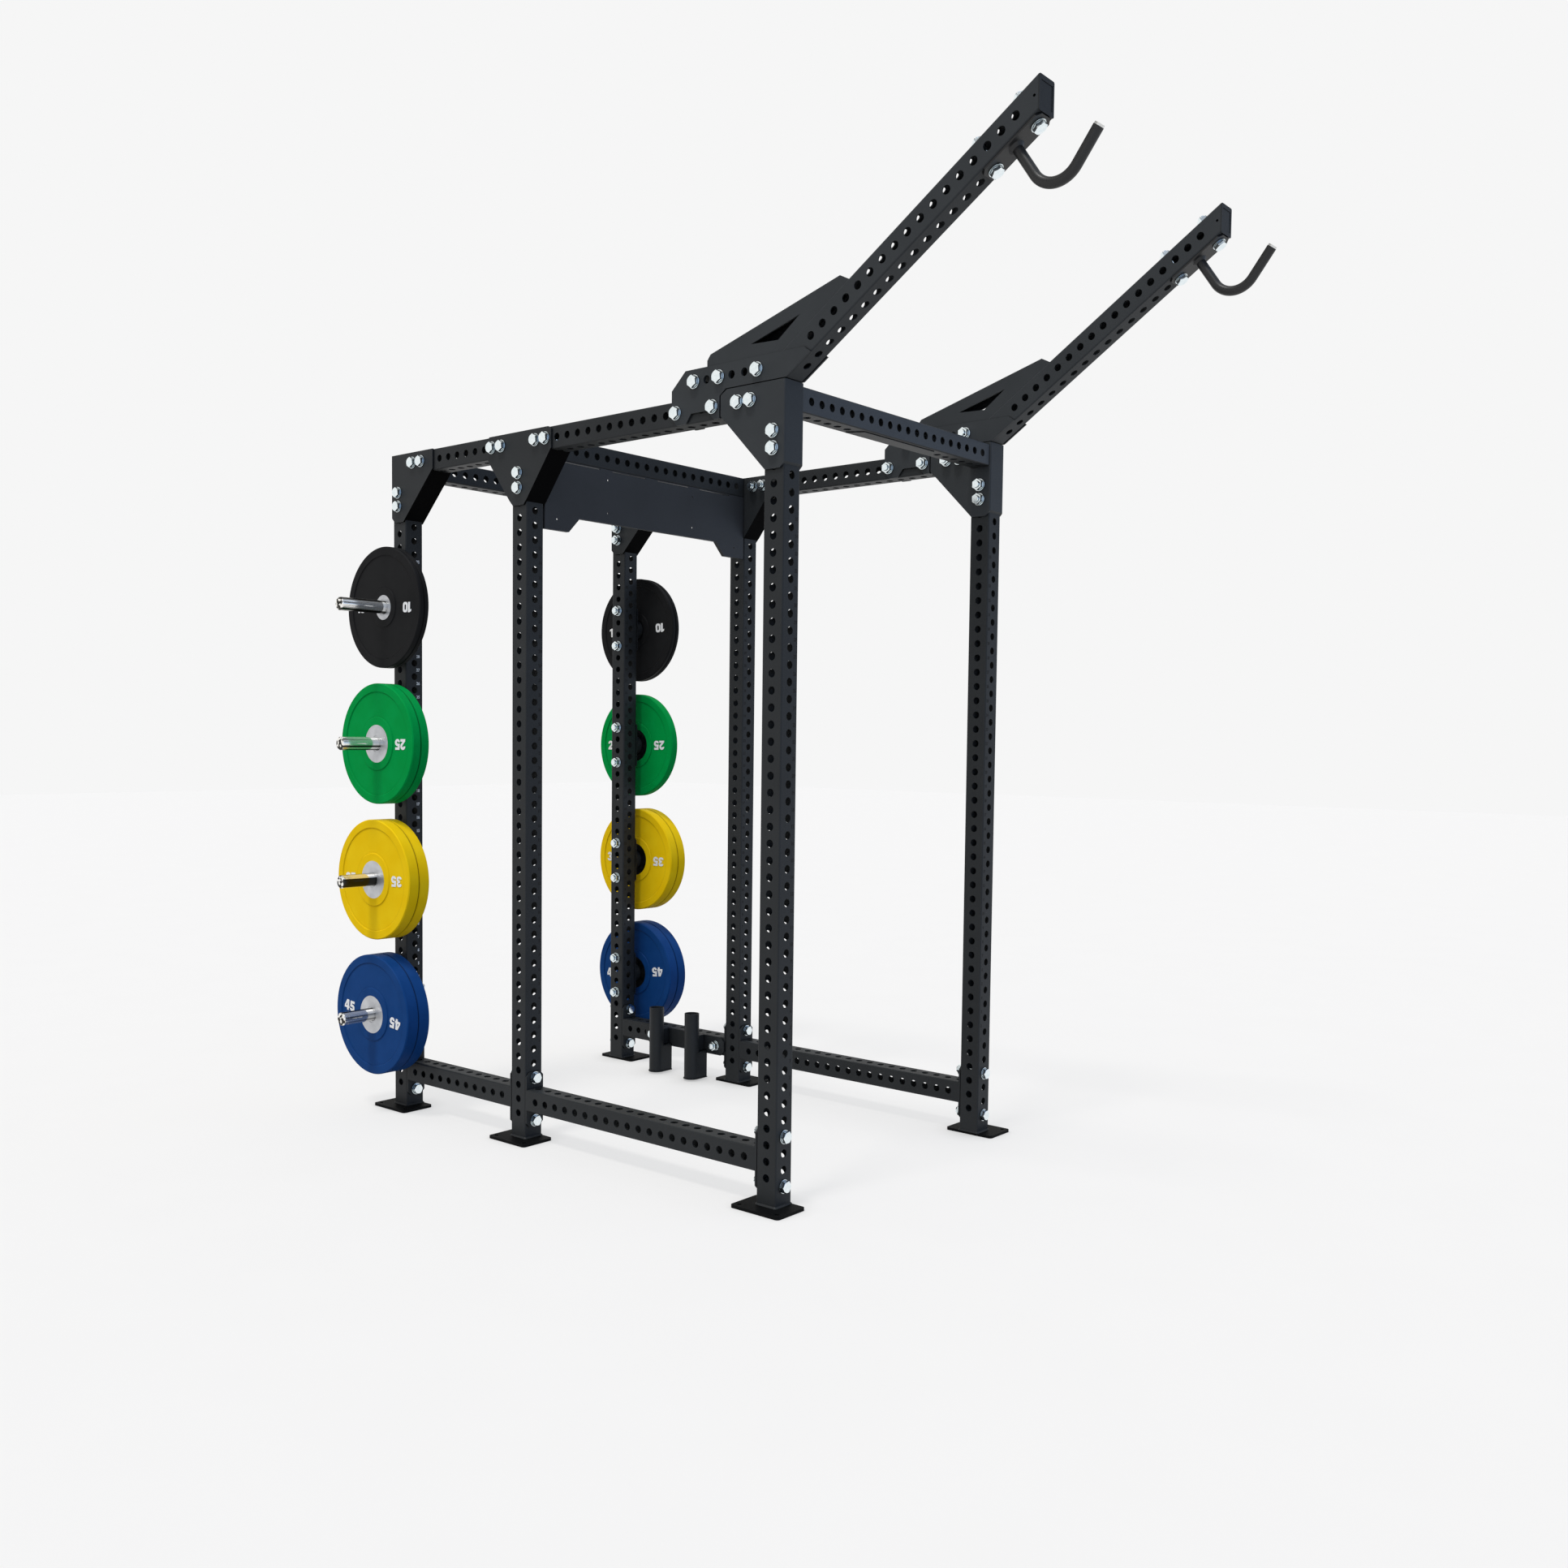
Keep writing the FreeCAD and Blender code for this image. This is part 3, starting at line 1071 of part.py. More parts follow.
# Storage pegs and their weight plates
peg = make_peg()
discs = [make_disc("Disc45", "thick_45", "disc_hub / 2", "disc_ring / 2"),
         make_disc("Disc35", "thick_35", "disc_hub / 2", "disc_ring / 2"),
         make_disc("Disc25", "thick_25", "disc_hub / 2", "disc_ring / 2"),
         make_disc("Disc10", "thick_10", "small_hub / 2", "small_ring / 2")]
LEVELS = [("45", "thick_45"), ("35", "thick_35"), ("25", "thick_25"), ("10", "thick_10")]
# The one peg that carries a single plate; every other peg carries two
SINGLE = ("25", "right")


def peg_height(level):
    """Pegs sit midway between the holes that take their bolts, ten holes apart."""
    return "(foot_thick + side_hole_start + (5.5 + %d) * hole_pitch)" % (10 * level)


for side, sign, turn in SIDES:
    facing = 180 - turn
    for level, (weight, thick) in enumerate(LEVELS):
        z = peg_height(level)
        copy_of(peg, "peg_%s_%s" % (weight, side),
                at("%d * %s" % (sign, OUTER_FACE), REAR_Y, z, facing))
        hung = "%s - (disc_bore - peg_bar) / 2 + disc_hang" % z
        hanging = ("inner",) if (weight, side) == SINGLE else ("inner", "outer")
        for order, place in enumerate(hanging):
            out = "(plate_seat + plate_gap + %d * (%s + plate_gap))" % (order, thick)
            copy_of(discs[level], "plate_%s_%s_%s" % (weight, side, place),
                    at("%d * (%s + %s)" % (sign, OUTER_FACE, out), REAR_Y, hung, facing))

# Bar holder on the right lower rear beam
HOLDER_Y = "(%s - 1.5 * hole_pitch)" % REAR_MID
keep(make_bar_holder(), "bar_holder", at("bay_width / 2", HOLDER_Y, LOWER_Z))

# Bolts with their washers and nuts
ONE_PLATE = "(tube_side + plate_thick)"
TWO_PLATES = "(tube_side + 2 * plate_thick)"
short_bolt = make_bolt("ShortBolt", ONE_PLATE)
long_bolt = make_bolt("LongBolt", TWO_PLATES)


def bolt_at(pattern, place, heading):
    """A linked bolt whose head faces the given way."""
    link = doc.addObject("App::Link", "Bolt")
    link.LinkedObject = pattern
    link.Placement = Placement(place, Rotation(Vector(0, 0, 1), heading))
    return link


def spot(x, y, z):
    return Vector(number(x), number(y), number(z))


frame_bolts = []
gusset_bolts = []
arm_bolts = []
peg_bolts = []
for side, sign, turn in SIDES:
    x = side_x(sign)
    outward = Vector(sign, 0, 0)
    forward = Vector(0, -1, 0)
    for reach in (-1, 1):
        z = "%s + %d * %s" % (LOWER_Z, reach, BOLT_REACH)
        fronts = [(short_bolt, "-%s - %s" % (REAR_Y, HALF)),
                  (long_bolt, "%s - %s - plate_thick" % (MIDDLE_Y, HALF)),
                  (short_bolt, "%s - %s - plate_thick" % (REAR_Y, HALF))]
        for pattern, y in fronts:
            frame_bolts.append(bolt_at(pattern, spot(x, y, z), forward))
    face = "%d * (%s + plate_thick)" % (sign, OUTER_FACE)
    joints = [("-" + REAR_Y, (1,)), (MIDDLE_Y, (-1, 1)), (REAR_Y, (-1,))]
    for y, ways in joints:
        for step in (2, 3):
            z = "%s + %s - %d * hole_pitch" % (TOP_Z, POST_TOP_HOLE, step)
            gusset_bolts.append(bolt_at(long_bolt, spot(face, y, z), outward))
        for way in ways:
            for step in (1, 2):
                beam_y = "%s + %d * (%s + %d * hole_pitch)" % (y, way, HALF, step)
                gusset_bolts.append(bolt_at(long_bolt, spot(face, beam_y, UPPER_Z), outward))
    for step in (2, 5, 7):
        y = "%s + %d * hole_pitch" % (ARM_Y, step)
        arm_bolts.append(bolt_at(long_bolt, spot(face, y, ARM_Z), outward))
    for step in (4, 7):
        y = "%s + tube_side + %d * hole_pitch" % (ARM_Y, step)
        arm_bolts.append(bolt_at(long_bolt, spot(face, y, UPPER_Z), outward))
    home = at(x, ARM_Y, ARM_Z)
    below = Vector(0, -math.sin(math.radians(number("arm_tilt"))),
                   -math.cos(math.radians(number("arm_tilt"))))
    for step in (-3.5, -0.5):
        along = "arm_hole_start + (arm_holes + %s) * arm_pitch" % step
        y, z = tilted(along, "-tube_side / 2 - plate_thick")
        arm_bolts.append(bolt_at(short_bolt, home.multVec(spot("0", y, z)), below))
    for level in range(len(LEVELS)):
        for reach in (-1, 1):
            z = "%s + %d * 1.5 * hole_pitch" % (peg_height(level), reach)
            peg_bolts.append(bolt_at(short_bolt, spot(face, REAR_Y, z), outward))
for reach in (-1, 1):
    y = "%s + %d * 3.5 * hole_pitch" % (HOLDER_Y, reach)
    peg_bolts.append(bolt_at(short_bolt, spot(OUTER_FACE, y, LOWER_Z), Vector(1, 0, 0)))
keep(compound("FrameBolts", frame_bolts), "lower_frame_bolts")
keep(compound("GussetBolts", gusset_bolts), "gusset_bolts")
keep(compound("ArmBolts", arm_bolts), "arm_bolts")
keep(compound("PegBolts", peg_bolts), "peg_bolts")

doc.recompute()
for thing in doc.Objects:
    if "Invalid" in thing.State or "Error" in thing.State:
        raise RuntimeError("%s (%s) failed: %s" % (thing.Name, thing.Label, thing.State))
for thing in subparts:
    if thing.Shape.isNull() or not thing.Shape.isValid():
        raise RuntimeError("%s has no valid shape" % thing.Label)

os.makedirs("parts", exist_ok=True)
for thing in subparts:
    thing.Shape.exportStep("parts/%s.step" % thing.Label)
print(len(subparts), "sub-parts,", sum(len(thing.Shape.Solids) for thing in subparts), "solids")
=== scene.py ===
"""Looks of the power rack: finishes, hole numbers, plate numerals, floor, light and camera."""

import math

import bmesh
import bpy
from mathutils import Matrix, Vector


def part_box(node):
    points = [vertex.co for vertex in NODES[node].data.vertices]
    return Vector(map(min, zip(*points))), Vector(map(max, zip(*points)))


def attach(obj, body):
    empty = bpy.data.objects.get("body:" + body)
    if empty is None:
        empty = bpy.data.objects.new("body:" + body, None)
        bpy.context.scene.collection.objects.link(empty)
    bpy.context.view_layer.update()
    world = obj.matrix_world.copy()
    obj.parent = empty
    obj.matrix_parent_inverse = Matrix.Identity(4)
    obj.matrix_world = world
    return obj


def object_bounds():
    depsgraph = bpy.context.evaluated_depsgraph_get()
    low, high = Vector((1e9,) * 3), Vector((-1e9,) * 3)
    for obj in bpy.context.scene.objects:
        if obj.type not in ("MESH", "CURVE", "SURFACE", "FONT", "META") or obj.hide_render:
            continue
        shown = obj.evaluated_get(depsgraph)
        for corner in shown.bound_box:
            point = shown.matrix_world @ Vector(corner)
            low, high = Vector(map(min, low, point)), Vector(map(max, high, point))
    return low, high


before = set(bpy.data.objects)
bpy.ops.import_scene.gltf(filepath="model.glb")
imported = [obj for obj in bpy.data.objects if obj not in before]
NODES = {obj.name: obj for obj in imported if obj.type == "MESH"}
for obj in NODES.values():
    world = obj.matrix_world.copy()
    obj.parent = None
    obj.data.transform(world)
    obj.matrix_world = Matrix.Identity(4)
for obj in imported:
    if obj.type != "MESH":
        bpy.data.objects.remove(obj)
CAD_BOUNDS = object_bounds()

# Names that the nodes, bodies and slots are made of
SIDES = ("left", "right")
STATIONS = ("front", "middle", "rear")
WEIGHTS = ("45", "35", "25", "10")
ORDERS = ("inner", "outer")
BODY_OF_FRAME = "frame"

# Sizes of the rack in metres, in the frame's own axes
HOLE_PITCH = 0.0508
TUBE_HALF = 0.0381
FRONT_HOLE_START = 0.0705
FOOT_TOP = 0.0095
PEG_RADIUS = 0.0245
PEG_SEAT = 0.0335
HUB_RADIUS = 0.0705
SMALL_HUB_RADIUS = 0.046
HUB_BACK_DEPTH = 0.006
DISC_RECESS = 0.003
# How far a hook's upturned end reaches behind its front, and how much of its tip is bare
HOOK_REACH = 0.05
HOOK_END = 0.006
HOOK_HEADING = Vector((0.0, -0.589, 0.808))
# Play allowed where faces are chosen by their place
SLACK = 0.0004

# Numbers beside the posts' holes; number 1 is so many hole pitches above the lowest hole
NUMBER_HEIGHT = 0.0105
NUMBER_OFFSET = 0.0245
NUMBER_PROUD = 0.00012
NUMBER_BOLDNESS = 0.0006
NUMBER_COUNT = 35
FIRST_NUMBER_STEP = 5.5
# Height of a digit in Blender's own font, as a share of the font's size
FONT_DIGIT_SHARE = 0.70
# The post whose cut numbers show light through them as painted light, nearer to its middle
LIT_NUMBERS = ("rear", "left")
LIT_OFFSET = 0.0165

# Numerals on the weight plates
NUMERAL_HEIGHTS = {"45": 0.040, "35": 0.040, "25": 0.040, "10": 0.038}
NUMERAL_RADIUS = 0.144
NUMERAL_PROUD = 0.0012
NUMERAL_SINK = 0.0004
# Space between two digits, as a share of their height
DIGIT_GAP = 0.085
# Turn of each plate's numerals about the peg, in degrees clockwise seen from outside
DISC_TURNS = {"45": 6.5, "35": -1.0, "25": 0.5, "10": 2.2}

# Part of its range that a noise mostly keeps to
NOISE_SPAN = (0.3, 0.7)
# Openness of a point where the painted shade in a corner is deepest, and where it ends
CORNER_SPAN = (0.45, 0.95)
CORNER_SAMPLES = 8
# Roughness of the frame's powder coat
COAT_ROUGH = (0.44, 0.60)
# Where a normal's part along an axis is less, the face looks partly, or squarely, against that axis
TILTED = -0.2
SQUARE = -0.9

# Brightness of the background, and of what metal mirrors from below (0) to above (1)
BACKGROUND = 0.922
GLOSS_BANDS = ((0.0, 1.0), (0.64, 1.0), (0.69, 0.15), (0.75, 0.15), (0.80, 1.0), (0.86, 1.0),
               (0.90, 0.2), (0.95, 1.0))
# Light of the room, warm behind and cool in front; the turn is from one to the other along Y
WORLD_LIGHT = 0.84
WORLD_WARM = (1.0, 0.99, 0.975, 1.0)
WORLD_COOL = (0.58, 0.76, 1.08, 1.0)
WORLD_TURN = (0.1, -0.9)

# Floor, with the painted shadow that its glow holds close under the rack
FLOOR_SIZE = 60.0
FLOOR_TONES = ((0.2390, 0.2320, 0.2240), (0.2430, 0.2360, 0.2280))
FLOOR_ROUGH = 0.9
FLOOR_GLOSS = 0.1
FLOOR_GLOW = 0.647
FLOOR_SPAN = (0.55, 1.0)
FLOOR_SAMPLES = 16
SHADOW_REACH = 0.11
SHADOW_DEPTH = 0.24

# Camera of the photograph: millimetres, shares of the frame, and metres
SENSOR_WIDTH = 36.0
FOCAL_LENGTH = 33.42
LENS_SHIFT = (0.0141, 0.0221)
VIEW_END = 200.0
CAMERA_PLACE = Vector((-3.94396, -3.69621, 1.42499))
CAMERA_FORWARD = Vector((0.763154, 0.643894, -0.054739))
CAMERA_RIGHT = Vector((0.645285, -0.763862, 0.011063))


# Parts of materials

def new_material(name):
    """A material with its node tree and its shader."""
    material = bpy.data.materials.new(name)
    material.use_nodes = True
    shader = material.node_tree.nodes["Principled BSDF"]
    return material, material.node_tree, shader


def object_place(tree, stretch=(1.0, 1.0, 1.0)):
    """Coordinates in metres on the piece itself, scaled along its axes."""
    place = tree.nodes.new("ShaderNodeTexCoord")
    mapping = tree.nodes.new("ShaderNodeMapping")
    mapping.inputs["Scale"].default_value = stretch
    tree.links.new(place.outputs["Object"], mapping.inputs["Vector"])
    return mapping.outputs["Vector"]


def noise(tree, vector, scale, detail=3.0, roughness=0.5):
    """A cloudy value from 0 to 1."""
    node = tree.nodes.new("ShaderNodeTexNoise")
    node.inputs["Scale"].default_value = scale
    node.inputs["Detail"].default_value = detail
    node.inputs["Roughness"].default_value = roughness
    tree.links.new(vector, node.inputs["Vector"])
    return node.outputs["Fac"]


def map_range(tree, value, source, target):
    """A node that maps a value from the source range onto the target range."""
    node = tree.nodes.new("ShaderNodeMapRange")
    for name, number in zip(("From Min", "From Max", "To Min", "To Max"), (*source, *target)):
        node.inputs[name].default_value = number
    tree.links.new(value, node.inputs["Value"])
    return node


def spread(tree, value, low, high):
    """Maps the middle of a noise onto the range from low to high."""
    return map_range(tree, value, NOISE_SPAN, (low, high)).outputs["Result"]


def between(tree, value, first, second, start=0.35, stop=0.65):
    """A colour that runs from first to second with a noise."""
    node = tree.nodes.new("ShaderNodeValToRGB")
    node.color_ramp.elements[0].position = start
    node.color_ramp.elements[0].color = (*first, 1.0)
    node.color_ramp.elements[1].position = stop
    node.color_ramp.elements[1].color = (*second, 1.0)
    tree.links.new(value, node.inputs["Fac"])
    return node.outputs["Color"]


def banded(tree, value, stops):
    """A grey that follows a value through (place, brightness) stops."""
    node = tree.nodes.new("ShaderNodeValToRGB")
    ends = node.color_ramp.elements
    while len(ends) < len(stops):
        ends.new(0.5)
    for end, (place, tone) in zip(ends, stops):
        end.position = place
        end.color = (tone, tone, tone, 1.0)
    tree.links.new(value, node.inputs["Fac"])
    return node.outputs["Color"]


def multiplied(tree, first, second):
    """One colour times another."""
    mix = tree.nodes.new("ShaderNodeMixRGB")
    mix.blend_type = "MULTIPLY"
    mix.inputs["Fac"].default_value = 1.0
    tree.links.new(first, mix.inputs["Color1"])
    tree.links.new(second, mix.inputs["Color2"])
    return mix.outputs["Color"]


def bump(tree, value, strength, distance):
    """A normal raised and sunk by a value."""
    node = tree.nodes.new("ShaderNodeBump")
    node.inputs["Strength"].default_value = strength
    node.inputs["Distance"].default_value = distance
    tree.links.new(value, node.inputs["Height"])
    return node.outputs["Normal"]


def openness(tree, reach, samples):
    """1 where nothing is near, and less in corners, looking as far as reach in metres."""
    node = tree.nodes.new("ShaderNodeAmbientOcclusion")
    node.samples = samples
    node.inputs["Distance"].default_value = reach
    return node.outputs["AO"]


def creased(tree, colour, reach, depth):
    """Darkens a colour with painted shade in the corners between faces, within reach in metres."""
    corner = openness(tree, reach, CORNER_SAMPLES)
    shade = map_range(tree, corner, CORNER_SPAN, (1.0 - depth, 1.0))
    return multiplied(tree, colour, shade.outputs["Result"])


def mixed_shader(tree, share, first, second):
    """The first shader where share is 0, and the second where it is 1."""
    mix = tree.nodes.new("ShaderNodeMixShader")
    tree.links.new(share, mix.inputs["Fac"])
    tree.links.new(first, mix.inputs[1])
    tree.links.new(second, mix.inputs[2])
    return mix.outputs["Shader"]


# Materials

def powder_coat(name, first, second, rough=COAT_ROUGH, gloss=0.24):
    """Fine textured powder coat: a pebbled skin with soft drifts of tone, and painted shade in its
    corners.
    """
    material, tree, shader = new_material(name)
    place = object_place(tree)
    drift = noise(tree, place, scale=6.0, detail=4.0)
    grain = noise(tree, place, scale=1400.0, detail=2.0, roughness=0.6)
    # Painted shade: the coat's colour is darkened in the corners between faces
    tint = creased(tree, between(tree, drift, first, second), reach=0.006, depth=0.8)
    tree.links.new(tint, shader.inputs["Base Color"])
    tree.links.new(spread(tree, grain, *rough), shader.inputs["Roughness"])
    tree.links.new(bump(tree, grain, strength=0.25, distance=0.0002), shader.inputs["Normal"])
    shader.inputs["Specular IOR Level"].default_value = gloss
    return material


def zinc():
    """Bright zinc plate: pale blue-white metal with faint spangle, and painted shade in its
    corners.
    """
    material, tree, shader = new_material("zinc_plate")
    place = object_place(tree)
    spangle = noise(tree, place, scale=90.0)
    fine = noise(tree, place, scale=900.0, detail=2.0)
    tint = between(tree, spangle, (0.80, 0.89, 0.92), (0.90, 0.96, 0.98))
    # Painted shade: the zinc's colour is darkened in the corners, such as under the heads
    shaded = creased(tree, tint, reach=0.005, depth=0.95)
    tree.links.new(shaded, shader.inputs["Base Color"])
    tree.links.new(spread(tree, fine, 0.09, 0.17), shader.inputs["Roughness"])
    tree.links.new(bump(tree, fine, strength=0.06, distance=0.0001), shader.inputs["Normal"])
    shader.inputs["Metallic"].default_value = 1.0
    return material


def chrome():
    """Polished chrome with painted reflections: dark and bright bands drawn along the peg."""
    material, tree, shader = new_material("chrome_sleeve")
    along = (0.01, 1.0, 1.0)
    # Painted reflections and highlights: dark and bright streaks along the peg in the base colour
    painted_reflection_band = noise(tree, object_place(tree, along), scale=88.0, detail=0.0)
    hair = noise(tree, object_place(tree, along), scale=300.0, detail=0.0)
    tint = between(tree, painted_reflection_band, (0.025, 0.024, 0.019), (1.0, 0.98, 0.93), start=0.47, stop=0.57)
    tree.links.new(tint, shader.inputs["Base Color"])
    tree.links.new(spread(tree, hair, 0.10, 0.15), shader.inputs["Roughness"])
    shader.inputs["Metallic"].default_value = 0.75
    return material


def hub_steel():
    """Machined steel of a plate's hub, matt and finely speckled."""
    material, tree, shader = new_material("hub_steel")
    place = object_place(tree)
    speckle = noise(tree, place, scale=700.0)
    cloud = noise(tree, place, scale=25.0)
    tint = between(tree, cloud, (0.50, 0.51, 0.53), (0.62, 0.63, 0.65))
    tree.links.new(tint, shader.inputs["Base Color"])
    tree.links.new(spread(tree, speckle, 0.38, 0.52), shader.inputs["Roughness"])
    tree.links.new(bump(tree, speckle, strength=0.2, distance=0.0001), shader.inputs["Normal"])
    shader.inputs["Metallic"].default_value = 0.85
    return material


def hub_back():
    """Steel on the back of a plate's hub, darkened with painted shade, with a low sheen."""
    material, tree, shader = new_material("hub_back_painted_shade")
    cloud = noise(tree, object_place(tree), scale=60.0)
    tint = between(tree, cloud, (0.016, 0.018, 0.020), (0.030, 0.033, 0.036))
    tree.links.new(tint, shader.inputs["Base Color"])
    tree.links.new(spread(tree, cloud, 0.28, 0.42), shader.inputs["Roughness"])
    shader.inputs["Metallic"].default_value = 0.9
    return material


def bare_steel():
    """Bare bright steel where a hook's tip has no coating."""
    material, tree, shader = new_material("bare_steel")
    scratch = noise(tree, object_place(tree), scale=500.0, detail=4.0)
    tint = between(tree, scratch, (0.62, 0.62, 0.60), (0.82, 0.82, 0.80))
    tree.links.new(tint, shader.inputs["Base Color"])
    tree.links.new(spread(tree, scratch, 0.3, 0.45), shader.inputs["Roughness"])
    shader.inputs["Metallic"].default_value = 1.0
    return material


def rubber(name, first, second, gloss=0.06):
    """Satin moulded rubber, faintly mottled, with a fine moulded grain, and painted shade in its
    recesses and corners.
    """
    material, tree, shader = new_material(name)
    place = object_place(tree)
    mottle = noise(tree, place, scale=14.0, detail=5.0)
    grain = noise(tree, place, scale=1100.0, detail=2.0, roughness=0.6)
    # Painted shade: the rubber's colour is darker in the recesses and the corners between faces
    tint = creased(tree, between(tree, mottle, first, second), reach=0.010, depth=0.92)
    tree.links.new(tint, shader.inputs["Base Color"])
    tree.links.new(spread(tree, grain, 0.46, 0.60), shader.inputs["Roughness"])
    tree.links.new(bump(tree, grain, strength=0.2, distance=0.0002), shader.inputs["Normal"])
    shader.inputs["Specular IOR Level"].default_value = gloss
    return material


def plain_paint(name, first, second, rough):
    """Print or paint of one colour with slight unevenness."""
    material, tree, shader = new_material(name)
    mottle = noise(tree, object_place(tree), scale=220.0)
    tree.links.new(between(tree, mottle, first, second), shader.inputs["Base Color"])
    tree.links.new(spread(tree, mottle, rough, rough + 0.1), shader.inputs["Roughness"])
    return material


COAT = powder_coat("powder_coat_black", (0.0183, 0.0204, 0.0220), (0.0218, 0.0242, 0.0260))
# Painted light: a paler copy of the coat for the front gussets and the arms
LIT_COAT = powder_coat("powder_coat_painted_light", (0.0310, 0.0350, 0.0382), (0.0365, 0.0408, 0.0442))
FASCIA_COAT = powder_coat("powder_coat_fascia", (0.0335, 0.0355, 0.0390),
                          (0.0375, 0.0397, 0.0437))
# Painted light: a paler, bluer copy of the coat for the front face of the front cross beam
LIT_FRONT_COAT = powder_coat("powder_coat_front_painted_light", (0.0560, 0.0620, 0.0690), (0.0620, 0.0690, 0.0765))
FOOT_COAT = powder_coat("powder_coat_foot", (0.0042, 0.0045, 0.0048), (0.0056, 0.0060, 0.0063),
                        rough=(0.48, 0.64), gloss=0.06)
# Painted shade: a near-black copy of the coat for the gussets' sloping webs
SHADED_COAT = powder_coat("powder_coat_web_painted_shade", (0.0020, 0.0020, 0.0022), (0.0030, 0.0030, 0.0032),
                          rough=(0.60, 0.75), gloss=0.02)
HOOK_COAT = powder_coat("hook_coat_black", (0.0110, 0.0110, 0.0115), (0.0145, 0.0145, 0.0150),
                        rough=(0.36, 0.50), gloss=0.45)
ZINC = zinc()
CHROME = chrome()
HUB = hub_steel()
# Painted shade on the backs of the hubs, which face the posts
HUB_BACK_SHADE = hub_back()
BARE = bare_steel()
NUMERAL_WHITE = plain_paint("numeral_white", (0.93, 0.93, 0.92), (0.98, 0.98, 0.97), rough=0.45)
# Painted light and painted shade in the cut numbers: pale grey for light seen through them,
# near-black for the shade inside the tube
SEE_THROUGH_LIGHT = plain_paint("number_cut_painted_light", (0.70, 0.70, 0.70), (0.80, 0.80, 0.80), rough=0.6)
SEE_THROUGH_SHADE = plain_paint("number_cut_painted_shade", (0.002, 0.002, 0.002), (0.004, 0.004, 0.004), rough=0.8)
RUBBER = {
    "45": rubber("rubber_blue", (0.0047, 0.050, 0.194), (0.0070, 0.057, 0.216)),
    "35": rubber("rubber_yellow", (0.96, 0.615, 0.004), (0.99, 0.660, 0.008), gloss=0.03),
    "25": rubber("rubber_green", (0.0002, 0.318, 0.058), (0.0006, 0.342, 0.068), gloss=0.02),
    "10": rubber("rubber_black", (0.0110, 0.0111, 0.0117), (0.0135, 0.0136, 0.0142)),
}


# Finishes on the CAD nodes

def paint(node, materials, choose=None):
    """Gives a node its materials; choose gives the place in the list for each face."""
    mesh = NODES[node].data
    mesh.materials.clear()
    for material in materials:
        mesh.materials.append(material)
    for face in mesh.polygons:
        face.material_index = int(choose(face)) if choose else 0


def faces_down_front(face):
    """A gusset's sloping web, seen from below and in front, which gets painted shade."""
    return face.normal.z < TILTED and face.normal.y < TILTED


def faces_front(face):
    """A face that looks straight to the front, which gets painted light on the front cross beam."""
    return face.normal.y < SQUARE


def on_foot(face):
    """A face of the plate under a post."""
    return face.center.z < FOOT_TOP + SLACK


def off_axis(point, centre):
    """Distance of a point from the line along X through centre."""
    return math.hypot(point.y - centre.y, point.z - centre.z)


def coat_frame(node):
    """Powder coat on a node of the frame, paler or darker where the photograph has it so."""
    if node == "fascia_panel":
        paint(node, [FASCIA_COAT])
    # The sloping webs of the middle and rear gussets get painted shade
    elif node.startswith(("gusset_middle", "gusset_rear")):
        paint(node, [COAT, SHADED_COAT], faces_down_front)
    elif node.startswith("upright_"):
        paint(node, [COAT, FOOT_COAT], on_foot)
    # The front cross beam's front face gets painted light
    elif node == "cross_beam_front":
        paint(node, [COAT, LIT_FRONT_COAT], faces_front)
    # The front gussets and the arms get painted light
    elif node.startswith(("gusset_front", "arm_left", "arm_right")):
        paint(node, [LIT_COAT])
    else:
        paint(node, [COAT])


def paint_disc(node, weight, side):
    """Rubber round a steel hub whose back gets painted shade."""
    hub_radius = SMALL_HUB_RADIUS if weight == "10" else HUB_RADIUS
    low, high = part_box(node)
    middle = (low + high) / 2
    back = high.x if side == "left" else low.x

    def hub_finish(face):
        if off_axis(face.center, middle) > hub_radius - SLACK:
            return 0
        # Index 2 is the painted shade on the back of the hub
        return 2 if abs(face.center.x - back) < HUB_BACK_DEPTH else 1

    paint(node, [RUBBER[weight], HUB, HUB_BACK_SHADE], hub_finish)


def paint_peg(node, side):
    """A coated base and collar, and a chromed sleeve beyond the plates' seat."""
    low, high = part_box(node)
    middle = (low + high) / 2
    root = high.x if side == "left" else low.x

    def on_sleeve(face):
        beyond = abs(face.center.x - root) > PEG_SEAT - SLACK
        return beyond and off_axis(face.center, middle) < PEG_RADIUS + SLACK

    paint(node, [COAT, CHROME], on_sleeve)


def paint_hook(node):
    """Smooth coat on a hook, left bare at the tip of its bent bar."""
    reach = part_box(node)[0].y + HOOK_REACH
    corners = [corner.co for corner in NODES[node].data.vertices]
    tip = max(place.dot(HOOK_HEADING) for place in corners if place.y < reach)
    bare = tip - HOOK_END - SLACK

    def on_tip(face):
        return face.center.y < reach and face.center.dot(HOOK_HEADING) > bare

    paint(node, [HOOK_COAT, BARE], on_tip)


def weight_plates():
    """Weight, side and order of each weight plate that the rack carries."""
    for weight in WEIGHTS:
        for side in SIDES:
            for order in ORDERS:
                if "plate_%s_%s_%s" % (weight, side, order) in NODES:
                    yield weight, side, order


for node in NODES:
    if node.endswith("_bolts"):
        paint(node, [ZINC])
    elif not node.startswith(("plate_", "peg_", "arm_hook_")):
        coat_frame(node)
for weight, side, order in weight_plates():
    paint_disc("plate_%s_%s_%s" % (weight, side, order), weight, side)
for side in SIDES:
    for weight in WEIGHTS:
        paint_peg("peg_%s_%s" % (weight, side), side)
    paint_hook("arm_hook_" + side)


# Shapes of numbers

